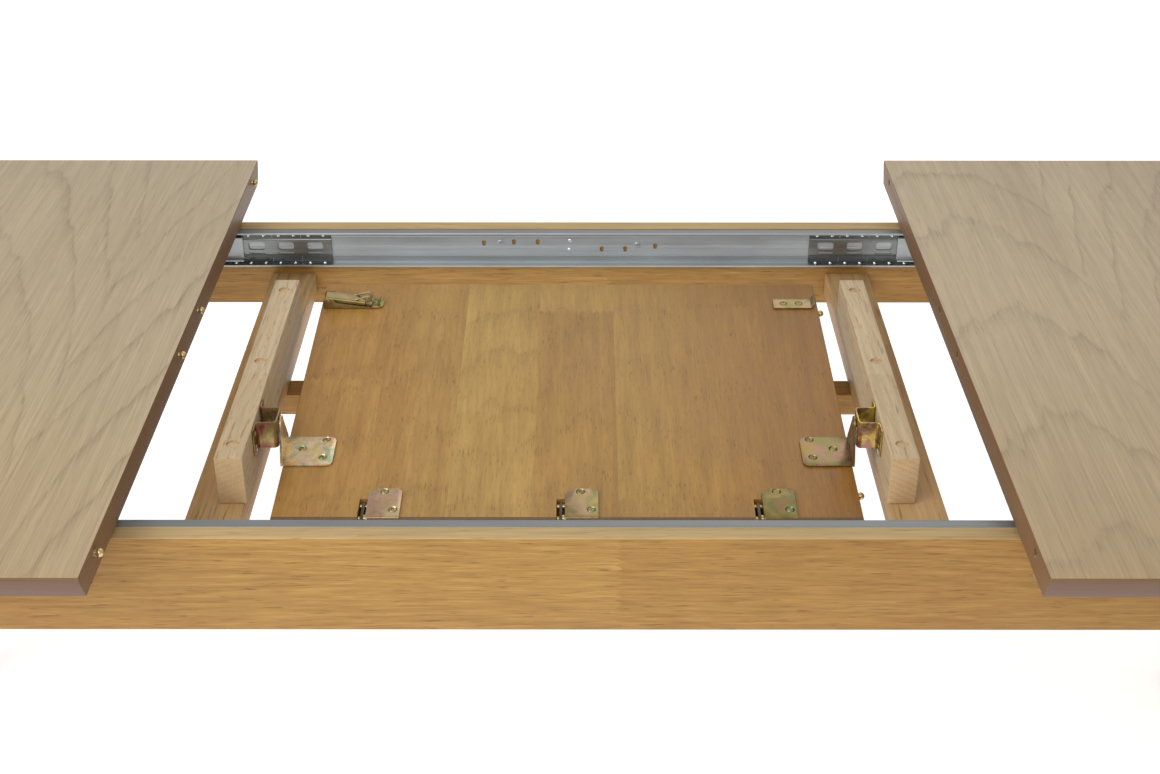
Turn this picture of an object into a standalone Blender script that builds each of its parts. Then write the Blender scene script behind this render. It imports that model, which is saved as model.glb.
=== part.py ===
"""Extending dining table with a folding leaf stowed under its two sliding top halves.

Metres, +Z up, floor at z = 0, table centre at x = y = 0, front at -y. The table stands
pulled open, with the folded leaf lying upside down on its stow rail.
"""

import math

import bmesh
import bpy
from mathutils import Matrix, Vector

# Overall sizes
TABLE_HEIGHT = 0.750
TOP_WIDTH = 0.900
HALF_LENGTH = 0.900
OPENING = 0.805
FIT_GAP = 0.0003

# Top halves
TOP_THICKNESS = 0.028
TOP_NOSE = 0.0045
TOP_UNDERCUT = 0.012

# Aprons and legs
APRON_CLEARANCE = 0.009
APRON_SETBACK = 0.1095
APRON_THICKNESS = 0.019
APRON_HEIGHT = 0.103
LEG_SIZE = 0.062
LEG_FOOT = 0.042
LEG_TAPER_DROP = 0.110
LEG_OUTER_X = 0.896
LEG_PROUD = 0.005
END_APRON_SETBACK = 0.018
CORNER_BLOCK_DROP = 0.058
CORNER_BLOCK_HEIGHT = 0.035
CORNER_BLOCK_WIDTH = 0.028

# Ball-bearing slides
SLIDE_DROP = 0.001
SLIDE_HEIGHT = 0.046
SLIDE_DEPTH = 0.0125
SLIDE_WALL = 0.0015
SLIDE_LIP = 0.0018
OUTER_SLIDE_LENGTH = 1.160
INNER_SLIDE_LENGTH = 0.400
INNER_SLIDE_SETBACK = 0.0015
INNER_SLIDE_HEIGHT = 0.032
CAGE_LENGTH = 0.280
CAGE_REACH = 0.109
CAGE_HEIGHT = 0.0395
CAGE_WALL = 0.001
WINDOW_COUNT = 3
WINDOW_PITCH = 0.036
WINDOW_LENGTH = 0.020
WINDOW_HEIGHT = 0.010
WINDOW_FIRST = 0.0205
CLEAT_THICKNESS = 0.020
CLEAT_HEIGHT = 0.046
CLEAT_SETBACK = 0.030

# Crossbeams, spacer blocks and stow rail
BEAM_INNER_X = 0.318
BEAM_WIDTH = 0.054
BEAM_THICKNESS = 0.028
BEAM_DROP = 0.098
BLOCK_INNER_X = 0.3155
BLOCK_WIDTH = 0.028
BLOCK_LENGTH = 0.389
BLOCK_DROP = 0.0445
BLOCK_HOLE_PITCH = 0.168
BLOCK_HOLE_RADIUS = 0.0065
BLOCK_HOLE_DEPTH = 0.010
RAIL_CENTRE_Y = 0.084
RAIL_WIDTH = 0.033
RAIL_HEIGHT = 0.026

# Folding leaf
LEAF_LENGTH = 0.580
LEAF_THICKNESS = 0.020
LEAF_SEAM = 0.0006
STOW_TILT = math.radians(4.0)
PACK_SHIFT = 0.0025
PIVOT_DROP = 0.0565
PIVOT_RADIUS = 0.003

# Alignment pins
PIN_RADIUS = 0.004
PIN_PROUD = 0.008
PIN_SHANK = 0.012
PIN_INSET = 0.050
PIN_DROP = 0.010

# Fold hinges
HINGE_PITCH = 0.195
HINGE_COUNT = 3
HINGE_PLATE_X = 0.031
HINGE_PLATE_Y = 0.047
HINGE_CHEEK = 0.0018
HINGE_SEAM_GAP = 0.0005
CHEEK_END_GAP = 0.002
CHEEK_TIP_GAP = 0.003
SLOT_WIDTH = 0.0105
SLOT_REACH = 0.032
SLOT_DEPTH = 0.014
PLATE_THICKNESS = 0.0018

# Pivot hardware
PIVOT_PLATE_X = 0.050
PIVOT_PLATE_Y = 0.050
EAR_RADIUS = 0.0085
CROWN_WIDTH = 0.030
FLANGE_WIDTH = 0.017
BRACKET_HEIGHT = 0.030
BRACKET_STOCK = 0.0016

# Toggle latches and their strikes
LATCH_INSET = 0.0465
LATCH_LENGTH = 0.072
LATCH_WIDTH = 0.0205
LATCH_EDGE_GAP = 0.003
LATCH_WALL_LENGTH = 0.050
LATCH_WALL_HEIGHT = 0.008
LATCH_WALL_TIP = 0.0036
LATCH_EAR_MARGIN = 0.003
LATCH_EAR_FLAT = 0.004
LATCH_EAR_END = 0.009
LEVER_LENGTH = 0.046
LEVER_WIDTH = 0.0155
LEVER_HEIGHT = 0.006
LEVER_PIVOT_INSET = 0.006
LEVER_PIVOT_HEIGHT = 0.0100
LEVER_REST = math.radians(8.0)
LEVER_BORE = 0.0018
LEVER_MARGIN = 0.0012
LEVER_TIP_SHARE = 0.55
STRIKE_LENGTH = 0.0485
STRIKE_LIP = 0.007
STRIKE_LIP_RUN = 0.004

SIDES = (("left", -1.0), ("right", 1.0))
FACES = (("front", -1.0), ("back", 1.0))

# Places worked out from the sizes above
TOP_UNDERSIDE = TABLE_HEIGHT - TOP_THICKNESS
APRON_TOP = TOP_UNDERSIDE - APRON_CLEARANCE
APRON_BOTTOM = APRON_TOP - APRON_HEIGHT
APRON_OUTER_Y = TOP_WIDTH / 2 - APRON_SETBACK
APRON_INNER_Y = APRON_OUTER_Y - APRON_THICKNESS
SLIDE_TOP = APRON_TOP - SLIDE_DROP
SLIDE_MIDDLE = SLIDE_TOP - SLIDE_HEIGHT / 2
EDGE_X = OPENING / 2
LEG_INNER_X = LEG_OUTER_X - LEG_SIZE
LEG_OUTER_Y = APRON_OUTER_Y + LEG_PROUD
LEG_INNER_Y = LEG_OUTER_Y - LEG_SIZE
BEAM_TOP = TABLE_HEIGHT - BEAM_DROP
BEAM_BOTTOM = BEAM_TOP - BEAM_THICKNESS
BLOCK_TOP = TABLE_HEIGHT - BLOCK_DROP
PIN_Z = TABLE_HEIGHT - PIN_DROP
PIN_YS = tuple(
    side * inset for side in (-1, 1) for inset in (TOP_WIDTH / 2 - PIN_INSET, PIN_INSET)
)
LEAF_HALF_WIDTH = TOP_WIDTH / 2
LEAF_UNDERSIDE = TABLE_HEIGHT - LEAF_THICKNESS
PLATE_Z = LEAF_UNDERSIDE - FIT_GAP
PIVOT_Y = PACK_SHIFT - LEAF_HALF_WIDTH / 4
PIVOT_Z = TABLE_HEIGHT - PIVOT_DROP
LATCH_Y = LATCH_INSET - LEAF_HALF_WIDTH
EAR_INNER_X = LEAF_LENGTH / 2 + FIT_GAP
CROWN_INNER_X = EAR_INNER_X + PLATE_THICKNESS + FIT_GAP
FLIP_ANGLE = math.pi - STOW_TILT
HINGE_XS = tuple((i - (HINGE_COUNT - 1) / 2) * HINGE_PITCH for i in range(HINGE_COUNT))


def clear_scene():
    for obj in list(bpy.data.objects):
        bpy.data.objects.remove(obj, do_unlink=True)


def material(name, colour, roughness, metallic=0.0):
    """One Principled BSDF material."""
    mat = bpy.data.materials.new(name)
    mat.use_nodes = True
    shader = mat.node_tree.nodes["Principled BSDF"]
    shader.inputs["Base Color"].default_value = (*colour, 1.0)
    shader.inputs["Roughness"].default_value = roughness
    shader.inputs["Metallic"].default_value = metallic
    mat.diffuse_color = (*colour, 1.0)
    return mat


def make_materials():
    return {
        "veneer": material("oak_veneer", (0.44, 0.36, 0.24), 0.45),
        "edge": material("edge_band", (0.20, 0.12, 0.08), 0.5),
        "apron": material("apron_wood", (0.44, 0.24, 0.08), 0.4),
        "beam": material("beam_wood", (0.52, 0.34, 0.18), 0.6),
        "leaf": material("leaf_wood", (0.40, 0.24, 0.07), 0.45),
        "slide": material("slide_steel", (0.52, 0.54, 0.56), 0.35, 0.9),
        "zinc": material("yellow_zinc", (0.60, 0.48, 0.25), 0.3, 0.9),
        "brass": material("pin_brass", (0.62, 0.42, 0.14), 0.25, 1.0),
    }


def object_from(name, bm, mat, parent=None, smooth=False):
    """A named object holding this bmesh, with outward normals, under parent."""
    bmesh.ops.recalc_face_normals(bm, faces=bm.faces)
    mesh = bpy.data.meshes.new(name)
    bm.to_mesh(mesh)
    bm.free()
    if smooth:
        mesh.shade_smooth()
        mesh.set_sharp_from_angle(angle=math.radians(35))
    obj = bpy.data.objects.new(name, mesh)
    bpy.context.scene.collection.objects.link(obj)
    if mat:
        mesh.materials.append(mat)
    place_under(obj, parent)
    return obj


def place_under(obj, parent):
    """Parents a world-space object so that it stays where it was modelled, then turns with parent.

    A parent's "modelled_at" is the point that its pivot had while its pieces were modelled.
    """
    if parent is None:
        return
    obj.parent = parent
    obj.matrix_parent_inverse = Matrix.Translation(-Vector(parent["modelled_at"]))


def box_mesh(low, high, bm=None):
    """Adds a box between two corners to a bmesh."""
    bm = bm or bmesh.new()
    low, high = Vector(low), Vector(high)
    size = high - low
    matrix = Matrix.Translation((low + high) / 2) @ Matrix.Diagonal((*size, 1.0))
    bmesh.ops.create_cube(bm, size=1.0, matrix=matrix)
    return bm


def box(name, x, y, z, mat, parent=None):
    """A box from three (low, high) pairs, given in any order."""
    spans = [sorted(pair) for pair in (x, y, z)]
    bm = box_mesh([s[0] for s in spans], [s[1] for s in spans])
    return object_from(name, bm, mat, parent)


def prism_mesh(outline, axis, low, high):
    """Extrudes a closed 2D outline along axis. The outline is (x, y), (y, z) or (x, z)."""
    lift = {
        "x": lambda a, b, t: (t, a, b),
        "y": lambda a, b, t: (a, t, b),
        "z": lambda a, b, t: (a, b, t),
    }[axis]
    bm = bmesh.new()
    face = bm.faces.new([bm.verts.new(lift(a, b, low)) for a, b in outline])
    moved = bmesh.ops.extrude_face_region(bm, geom=[face])["geom"]
    shift = Vector(lift(0, 0, high - low))
    bmesh.ops.translate(bm, vec=shift, verts=[v for v in moved if isinstance(v, bmesh.types.BMVert)])
    return bm


def strip_outline(path, thickness):
    """The outline of a strip of sheet metal bent along path, thickened to the left of it."""
    points = [Vector(p) for p in path]
    left = []
    for i, point in enumerate(points):
        before = (point - points[i - 1]).normalized() if i else None
        after = (points[i + 1] - point).normalized() if i + 1 < len(points) else None
        normals = [Vector((-d.y, d.x)) for d in (before, after) if d]
        mean = sum(normals, Vector((0, 0))).normalized()
        left.append(point + mean * (thickness / mean.dot(normals[0])))
    return [tuple(p) for p in points + left[::-1]]


def cylinder_mesh(centre, axis, radius, length, segments=16, bm=None):
    """Adds a cylinder centred on centre to a bmesh."""
    bm = bm or bmesh.new()
    turn = Vector((0, 0, 1)).rotation_difference(Vector(axis)).to_matrix().to_4x4()
    bmesh.ops.create_cone(
        bm, cap_ends=True, segments=segments, radius1=radius, radius2=radius,
        depth=length, matrix=Matrix.Translation(centre) @ turn,
    )
    return bm


def modify(obj, operation, bm, name):
    """Cuts or joins a helper shape with obj by a Boolean modifier."""
    helper = object_from(f"{obj.name}_{name}", bm, None)
    if obj.parent:
        place_under(helper, obj.parent)
    helper.hide_render = True
    helper.display_type = "WIRE"
    modifier = obj.modifiers.new(name, "BOOLEAN")
    modifier.operation = operation
    modifier.object = helper


def soften(obj, width, segments=1):
    """A narrow bevel along an object's sharp edges."""
    modifier = obj.modifiers.new("eased_edges", "BEVEL")
    modifier.width = width
    modifier.segments = segments
    modifier.limit_method = "ANGLE"
    modifier.angle_limit = math.radians(40)
    modifier.use_clamp_overlap = True


# Fixed frame


def make_aprons(mats):
    leg_face = LEG_INNER_X - FIT_GAP
    for name, side in FACES:
        apron = box(
            f"{name}_apron", (-leg_face, leg_face),
            (side * APRON_OUTER_Y, side * APRON_INNER_Y), (APRON_BOTTOM, APRON_TOP), mats["apron"],
        )
        soften(apron, 0.0015)
    end_reach = LEG_INNER_Y - FIT_GAP
    outer = LEG_OUTER_X - END_APRON_SETBACK
    for name, side in SIDES:
        apron = box(
            f"{name}_end_apron", (side * outer, side * (outer - APRON_THICKNESS)),
            (-end_reach, end_reach), (APRON_BOTTOM, APRON_TOP), mats["apron"],
        )
        soften(apron, 0.0015)


def make_leg(name, side_x, side_y, mat):
    """A square leg that tapers on its two inner faces below the aprons."""
    outer = Vector((side_x * LEG_OUTER_X, side_y * LEG_OUTER_Y))
    levels = (
        (0.0, LEG_FOOT),
        (APRON_TOP - LEG_TAPER_DROP, LEG_SIZE),
        (APRON_TOP, LEG_SIZE),
    )
    bm = bmesh.new()
    rings = []
    for z, width in levels:
        inner = outer - Vector((side_x, side_y)) * width
        corners = ((outer.x, outer.y), (inner.x, outer.y), (inner.x, inner.y), (outer.x, inner.y))
        rings.append([bm.verts.new((x, y, z)) for x, y in corners])
    for lower, upper in zip(rings, rings[1:]):
        for i in range(4):
            j = (i + 1) % 4
            bm.faces.new((lower[i], lower[j], upper[j], upper[i]))
    bm.faces.new(rings[0])
    bm.faces.new(rings[-1])
    soften(object_from(name, bm, mat), 0.003, 2)


def make_corner_block(name, side_x, side_y, mat):
    """A diagonal brace from the long apron to the end apron, against the leg's inner corner."""
    wall_y = APRON_INNER_Y - FIT_GAP
    wall_x = LEG_OUTER_X - END_APRON_SETBACK - APRON_THICKNESS - FIT_GAP
    near_leg = LEG_INNER_X + LEG_INNER_Y - 2 * FIT_GAP
    inside = near_leg - CORNER_BLOCK_WIDTH * math.sqrt(2)
    outline = (
        (inside - wall_y, wall_y), (near_leg - wall_y, wall_y),
        (wall_x, near_leg - wall_x), (wall_x, inside - wall_x),
    )
    top = APRON_TOP - CORNER_BLOCK_DROP
    bm = prism_mesh(
        [(side_x * x, side_y * y) for x, y in outline], "z", top - CORNER_BLOCK_HEIGHT, top
    )
    object_from(name, bm, mat)


def make_crossbeams(mats):
    reach = APRON_INNER_Y - FIT_GAP
    hole_ys = [i * BLOCK_HOLE_PITCH for i in (-1, 0, 1)]
    for name, side in SIDES:
        beam = box(
            f"{name}_crossbeam", (side * BEAM_INNER_X, side * (BEAM_INNER_X + BEAM_WIDTH)),
            (-reach, reach), (BEAM_BOTTOM, BEAM_TOP), mats["beam"],
        )
        soften(beam, 0.001)
        block = box(
            f"{name}_spacer_block", (side * BLOCK_INNER_X, side * (BLOCK_INNER_X + BLOCK_WIDTH)),
            (-BLOCK_LENGTH / 2, BLOCK_LENGTH / 2), (BEAM_TOP + FIT_GAP, BLOCK_TOP), mats["beam"],
        )
        bores = bmesh.new()
        for y in hole_ys:
            centre = (side * (BLOCK_INNER_X + BLOCK_WIDTH / 2), y, BLOCK_TOP)
            cylinder_mesh(centre, (0, 0, 1), BLOCK_HOLE_RADIUS, 2 * BLOCK_HOLE_DEPTH, 16, bores)
        soften(block, 0.0012)
        modify(block, "DIFFERENCE", bores, "counterbores")
    top = BEAM_BOTTOM - FIT_GAP
    reach = BEAM_INNER_X + BEAM_WIDTH
    rail = box(
        "stow_rail", (-reach, reach), (RAIL_CENTRE_Y - RAIL_WIDTH / 2, RAIL_CENTRE_Y + RAIL_WIDTH / 2),
        (top - RAIL_HEIGHT, top), mats["beam"],
    )
    soften(rail, 0.001)


# Slides: depth is measured from the apron's inner face towards the table centre


def slide_section(side, web_depth, open_depth, height, wall, lip=0.0):
    """A C-shaped section in (y, z), its web at web_depth and its flanges reaching open_depth."""
    half = height / 2
    path = [(open_depth, half), (web_depth, half), (web_depth, -half), (open_depth, -half)]
    if lip:
        path = [(open_depth, half - lip)] + path + [(open_depth, lip - half)]
    outline = strip_outline(path, wall)
    face = APRON_INNER_Y - FIT_GAP
    return [(side * (face - depth), SLIDE_MIDDLE + z) for depth, z in outline]


def make_slides(mats, top_halves, cage_bodies):
    outer_web = 0.0
    cage_web = SLIDE_WALL + 2 * FIT_GAP
    inner_web = cage_web + CAGE_WALL + 2 * FIT_GAP
    for face_name, side in FACES:
        outline = slide_section(side, outer_web, SLIDE_DEPTH, SLIDE_HEIGHT, SLIDE_WALL, SLIDE_LIP)
        half = OUTER_SLIDE_LENGTH / 2
        object_from(
            f"{face_name}_outer_slide", prism_mesh(outline, "x", -half, half), mats["slide"]
        )
        for name, way in SIDES:
            start = EDGE_X + INNER_SLIDE_SETBACK
            outline = slide_section(
                side, inner_web, SLIDE_DEPTH - FIT_GAP, INNER_SLIDE_HEIGHT, SLIDE_WALL
            )
            bm = prism_mesh(outline, "x", way * start, way * (start + INNER_SLIDE_LENGTH))
            object_from(f"{name}_{face_name}_inner_slide", bm, mats["slide"], top_halves[name])
            make_cage(
                f"{name}_{face_name}_ball_cage", side, way, cage_web,
                start - CAGE_REACH, mats["slide"], cage_bodies[name],
            )


def make_cage(name, side, way, web_depth, start, mat, body):
    """The retainer that carries the balls, with a row of windows at its inner end."""
    outline = slide_section(side, web_depth, SLIDE_DEPTH * 0.7, CAGE_HEIGHT, CAGE_WALL)
    bm = prism_mesh(outline, "x", way * start, way * (start + CAGE_LENGTH))
    cage = object_from(name, bm, mat, body)
    windows = bmesh.new()
    web_y = side * (APRON_INNER_Y - FIT_GAP - web_depth)
    for i in range(WINDOW_COUNT):
        x = way * (start + WINDOW_FIRST + i * WINDOW_PITCH)
        half = Vector((WINDOW_LENGTH, 4 * CAGE_WALL, WINDOW_HEIGHT)) / 2
        centre = Vector((x, web_y, SLIDE_MIDDLE))
        box_mesh(centre - half, centre + half, windows)
    modify(cage, "DIFFERENCE", windows, "windows")


# Sliding top halves


def make_top_half(name, way, mats, body):
    """A top panel whose outer edges are undercut below a short nose; its inner edge is square."""
    inner, outer = EDGE_X, EDGE_X + HALF_LENGTH
    half_width = TOP_WIDTH / 2
    levels = (
        (TABLE_HEIGHT, 0.0), (TABLE_HEIGHT - TOP_NOSE, 0.0), (TOP_UNDERSIDE, TOP_UNDERCUT),
    )
    bm = bmesh.new()
    rings = []
    for z, inset in levels:
        y = half_width - inset
        x = outer - inset
        corners = ((inner, -y), (x, -y), (x, y), (inner, y))
        rings.append([bm.verts.new((way * a, b, z)) for a, b in corners])
    for upper, lower in zip(rings, rings[1:]):
        for i in range(4):
            j = (i + 1) % 4
            bm.faces.new((upper[i], upper[j], lower[j], lower[i]))
    bm.faces.new(rings[0])
    bm.faces.new(rings[-1])
    panel = object_from(f"{name}_top_panel", bm, mats["veneer"], body)
    soften(panel, 0.0006)
    modify(panel, "DIFFERENCE", pin_holes(way * inner, PIN_YS), "pin_holes")


def pin_holes(edge_x, ys):
    """Sockets that take a pin's shank or its nose, open at the edge."""
    bm = bmesh.new()
    depth = max(PIN_SHANK, PIN_PROUD) + 2 * FIT_GAP
    for y in ys:
        cylinder_mesh((edge_x, y, PIN_Z), (1, 0, 0), PIN_RADIUS + FIT_GAP, 2 * depth, 16, bm)
    return bm


def make_pin(name, edge_x, way, y, mat, body):
    """A round-nosed pin pressed into a panel's edge, pointing along way."""
    profile = [(-PIN_SHANK, 0.0), (-PIN_SHANK, PIN_RADIUS)]
    straight = PIN_PROUD - PIN_RADIUS
    steps = 4
    for i in range(steps + 1):
        angle = math.radians(90) * i / steps
        profile.append((straight + PIN_RADIUS * math.sin(angle), PIN_RADIUS * math.cos(angle)))
    bm = bmesh.new()
    points = [bm.verts.new((edge_x + way * a, y, PIN_Z + b)) for a, b in profile]
    edges = [bm.edges.new(pair) for pair in zip(points, points[1:])]
    bmesh.ops.spin(
        bm, geom=points + edges, cent=(edge_x, y, PIN_Z), axis=(1, 0, 0),
        angle=math.tau, steps=16, use_merge=True,
    )
    bmesh.ops.remove_doubles(bm, verts=bm.verts, dist=1e-6)
    object_from(name, bm, mat, body, smooth=True)


def make_cleats(name, way, mats, body):
    """Wooden runners under a top half, each joining one inner slide to the panel."""
    start = EDGE_X + CLEAT_SETBACK
    end = EDGE_X + INNER_SLIDE_SETBACK + INNER_SLIDE_LENGTH
    top = TOP_UNDERSIDE - FIT_GAP
    for face_name, side in FACES:
        outer = APRON_INNER_Y - SLIDE_DEPTH - 2 * FIT_GAP
        cleat = box(
            f"{name}_{face_name}_cleat", (way * start, way * end),
            (side * outer, side * (outer - CLEAT_THICKNESS)), (top - CLEAT_HEIGHT, top),
            mats["beam"], body,
        )
        soften(cleat, 0.001)


# Toggle latch and strike, on the underside of a panel whose engaged edge is at edge_x


def make_latch(name, edge_x, underside, mats, body, lever_body):
    """A latch base with two ears and its folded lever, running inwards from the edge."""
    start = edge_x + LATCH_EDGE_GAP
    face = underside - FIT_GAP
    low_y, high_y = LATCH_Y - LATCH_WIDTH / 2, LATCH_Y + LATCH_WIDTH / 2
    base = box(
        f"{name}_latch_base", (start, start + LATCH_LENGTH - LATCH_EDGE_GAP), (low_y, high_y),
        (face - PLATE_THICKNESS, face), mats["zinc"], body,
    )
    pivot_x = start + LEVER_PIVOT_INSET
    pivot_z = face - LEVER_PIVOT_HEIGHT
    ears = bmesh.new()
    outline = (
        (start, face - PLATE_THICKNESS / 2), (start, pivot_z - LATCH_EAR_MARGIN),
        (pivot_x + LATCH_EAR_FLAT, pivot_z - LATCH_EAR_MARGIN),
        (pivot_x + LATCH_EAR_END, face - LATCH_WALL_HEIGHT),
        (start + LATCH_WALL_LENGTH, face - LATCH_WALL_TIP),
        (start + LATCH_WALL_LENGTH, face - PLATE_THICKNESS / 2),
    )
    for y in (low_y, high_y - PLATE_THICKNESS):
        wall = prism_mesh(outline, "y", y, y + PLATE_THICKNESS)
        for vert_face in wall.faces:
            corners = [ears.verts.new(v.co) for v in vert_face.verts]
            ears.faces.new(corners)
        wall.free()
    bmesh.ops.remove_doubles(ears, verts=ears.verts, dist=1e-6)
    modify(base, "UNION", ears, "ears")
    rivet = cylinder_mesh((pivot_x, LATCH_Y, pivot_z), (0, 1, 0), LEVER_BORE - FIT_GAP, LATCH_WIDTH)
    modify(base, "UNION", rivet, "rivet")
    make_lever(f"{name}_latch_lever", mats["zinc"], lever_body)


def make_lever(name, mat, body):
    """A channel-shaped lever whose bore is on its parent's origin, sloping towards the base."""
    length = LEVER_LENGTH
    deep, shallow = LEVER_HEIGHT, LEVER_HEIGHT * LEVER_TIP_SHARE
    back = LEVER_BORE + LEVER_MARGIN
    outline = (
        (-back, -back), (length, -back), (length, shallow - back), (back, deep - back),
        (-back, deep - back),
    )
    half = LEVER_WIDTH / 2 - FIT_GAP
    bm = prism_mesh(outline, "y", -half, half)
    turn = Matrix.Rotation(-LEVER_REST, 4, "Y")
    bmesh.ops.transform(bm, matrix=Matrix.Translation(body["modelled_at"]) @ turn, verts=bm.verts)
    lever = object_from(name, bm, mat, body)
    modify(
        lever, "DIFFERENCE",
        cylinder_mesh(body["modelled_at"], (0, 1, 0), LEVER_BORE, LATCH_WIDTH), "bore",
    )


def lever_pivot(edge_x, underside):
    x = edge_x + LATCH_EDGE_GAP + LEVER_PIVOT_INSET
    return (x, LATCH_Y, underside - FIT_GAP - LEVER_PIVOT_HEIGHT)


def make_strike(name, edge_x, underside, mats, body):
    """A flat plate with a lip that the latch pulls on, ending just short of the edge."""
    face = underside - FIT_GAP
    end = edge_x - LATCH_EDGE_GAP
    outline = strip_outline(
        ((end - STRIKE_LENGTH, face), (end - STRIKE_LIP_RUN, face), (end, face - STRIKE_LIP)),
        -PLATE_THICKNESS,
    )
    bm = prism_mesh(outline, "y", LATCH_Y - LATCH_WIDTH / 2, LATCH_Y + LATCH_WIDTH / 2)
    object_from(f"{name}_strike", bm, mats["zinc"], body)


# Leaf, modelled flat in its raised place between the top halves, then turned to its stowed place


def make_leaf_panel(name, side, mats, body):
    """Half of the leaf: the front half is a, the back half is b."""
    seam = side * FIT_GAP
    half_length = LEAF_LENGTH / 2
    panel = box(
        f"leaf_{name}_panel", (-half_length, half_length), (seam, side * LEAF_HALF_WIDTH),
        (LEAF_UNDERSIDE, TABLE_HEIGHT), mats["leaf"], body,
    )
    soften(panel, 0.0008)
    ys = [y for y in PIN_YS if y * side > 0]
    cuts = pin_holes(-half_length, ys)
    modify(panel, "DIFFERENCE", cuts, "left_holes")
    modify(panel, "DIFFERENCE", pin_holes(half_length, ys), "right_holes")
    slots = bmesh.new()
    for x in HINGE_XS:
        low = (x - SLOT_WIDTH, min(-side * 0.002, side * SLOT_REACH), LEAF_UNDERSIDE - 0.002)
        high = (x, max(-side * 0.002, side * SLOT_REACH), LEAF_UNDERSIDE + SLOT_DEPTH)
        box_mesh(low, high, slots)
    modify(panel, "DIFFERENCE", slots, "hinge_slots")
    for i, y in enumerate(sorted(ys, key=abs), start=1):
        make_pin(f"leaf_{name}_pin_{i}", half_length, 1.0, y, mats["brass"], body)


def make_fold_hinges(name, side, mats, body):
    """Plates beside the fold line, each with a cheek that turns down into the leaf's slot."""
    edge = side * (FIT_GAP + HINGE_SEAM_GAP)
    for i, x in enumerate(HINGE_XS, start=1):
        plate = box(
            f"fold_hinge_{i}_plate_{name}", (x - HINGE_CHEEK - 2 * FIT_GAP, x + HINGE_PLATE_X),
            (edge, side * HINGE_PLATE_Y), (PLATE_Z - PLATE_THICKNESS, PLATE_Z), mats["zinc"], body,
        )
        near, reach = edge + side * FIT_GAP, side * (SLOT_REACH - CHEEK_END_GAP)
        cheek = box_mesh(
            (x - HINGE_CHEEK - FIT_GAP, min(near, reach), PLATE_Z - PLATE_THICKNESS / 2),
            (x - FIT_GAP, max(near, reach), LEAF_UNDERSIDE + SLOT_DEPTH - CHEEK_TIP_GAP),
        )
        modify(plate, "UNION", cheek, "cheek")


def make_pivot_plate(name, way, mats, body):
    """A plate screwed to the leaf, with an ear at the leaf's end that carries the pivot pin."""
    edge = way * (EAR_INNER_X + PLATE_THICKNESS)
    low_y, high_y = PIVOT_Y - PIVOT_PLATE_Y / 2, PIVOT_Y + PIVOT_PLATE_Y / 2
    plate = box(
        f"{name}_pivot_plate", (way * (LEAF_LENGTH / 2 - PIVOT_PLATE_X), edge), (low_y, high_y),
        (PLATE_Z - PLATE_THICKNESS, PLATE_Z), mats["zinc"], body,
    )
    steps = 6
    outline = [(low_y, PLATE_Z - PLATE_THICKNESS / 2)]
    for i in range(steps + 1):
        angle = math.pi + math.pi * i / steps
        outline.append((PIVOT_Y + EAR_RADIUS * math.cos(angle), PIVOT_Z + EAR_RADIUS * math.sin(angle)))
    outline.append((high_y, PLATE_Z - PLATE_THICKNESS / 2))
    ear = prism_mesh(outline, "x", way * EAR_INNER_X, edge)
    modify(plate, "UNION", ear, "ear")
    reach = BRACKET_STOCK + 3 * FIT_GAP + 0.001
    start = EAR_INNER_X + PLATE_THICKNESS / 2
    end = CROWN_INNER_X + reach
    pin = cylinder_mesh(
        (way * (start + end) / 2, PIVOT_Y, PIVOT_Z), (1, 0, 0), PIVOT_RADIUS, end - start
    )
    modify(plate, "UNION", pin, "pivot_pin")


def make_pivot_bracket(name, way, mats):
    """A hat section on the spacer block's inner face, bored for the leaf's pivot pin."""
    wall = BLOCK_INNER_X - FIT_GAP
    crown, flange = CROWN_WIDTH / 2, CROWN_WIDTH / 2 + FLANGE_WIDTH
    path = (
        (wall, PIVOT_Y - flange), (wall, PIVOT_Y - crown),
        (CROWN_INNER_X + BRACKET_STOCK, PIVOT_Y - crown),
        (CROWN_INNER_X + BRACKET_STOCK, PIVOT_Y + crown),
        (wall, PIVOT_Y + crown), (wall, PIVOT_Y + flange),
    )
    outline = [(way * x, y) for x, y in strip_outline(path, BRACKET_STOCK)]
    top = PIVOT_Z + BRACKET_HEIGHT * 0.35
    bracket = object_from(
        f"{name}_pivot_bracket", prism_mesh(outline, "z", top - BRACKET_HEIGHT, top), mats["zinc"]
    )
    bore = cylinder_mesh(
        (way * CROWN_INNER_X, PIVOT_Y, PIVOT_Z), (1, 0, 0), PIVOT_RADIUS + FIT_GAP, 0.010
    )
    modify(bracket, "DIFFERENCE", bore, "pivot_bore")


def empty(name, point, parent=None):
    """A parent on a joint's axis. Its pieces are modelled in world space around point."""
    obj = bpy.data.objects.new(name, None)
    bpy.context.scene.collection.objects.link(obj)
    obj.empty_display_size = 0.03
    obj["modelled_at"] = tuple(point)
    if parent:
        obj.parent = parent
        obj.location = Vector(point) - Vector(parent["modelled_at"])
    else:
        obj.location = point
    return obj


def stow_opening():
    """How far half b hangs open from half a, so that it lies on the stow rail's front edge."""
    fold = Matrix.Rotation(-FLIP_ANGLE, 4, "X") @ Vector(
        (0, -PIVOT_Y, TABLE_HEIGHT + LEAF_SEAM / 2 - PIVOT_Z)
    )
    rail_y = RAIL_CENTRE_Y - RAIL_WIDTH / 2 - PIVOT_Y - fold.y
    rail_z = BEAM_BOTTOM - PIVOT_Z - fold.z
    underside = LEAF_THICKNESS + LEAF_SEAM / 2
    slope = math.atan2(rail_z, rail_y) + math.asin(underside / math.hypot(rail_y, rail_z))
    return STOW_TILT - slope


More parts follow.
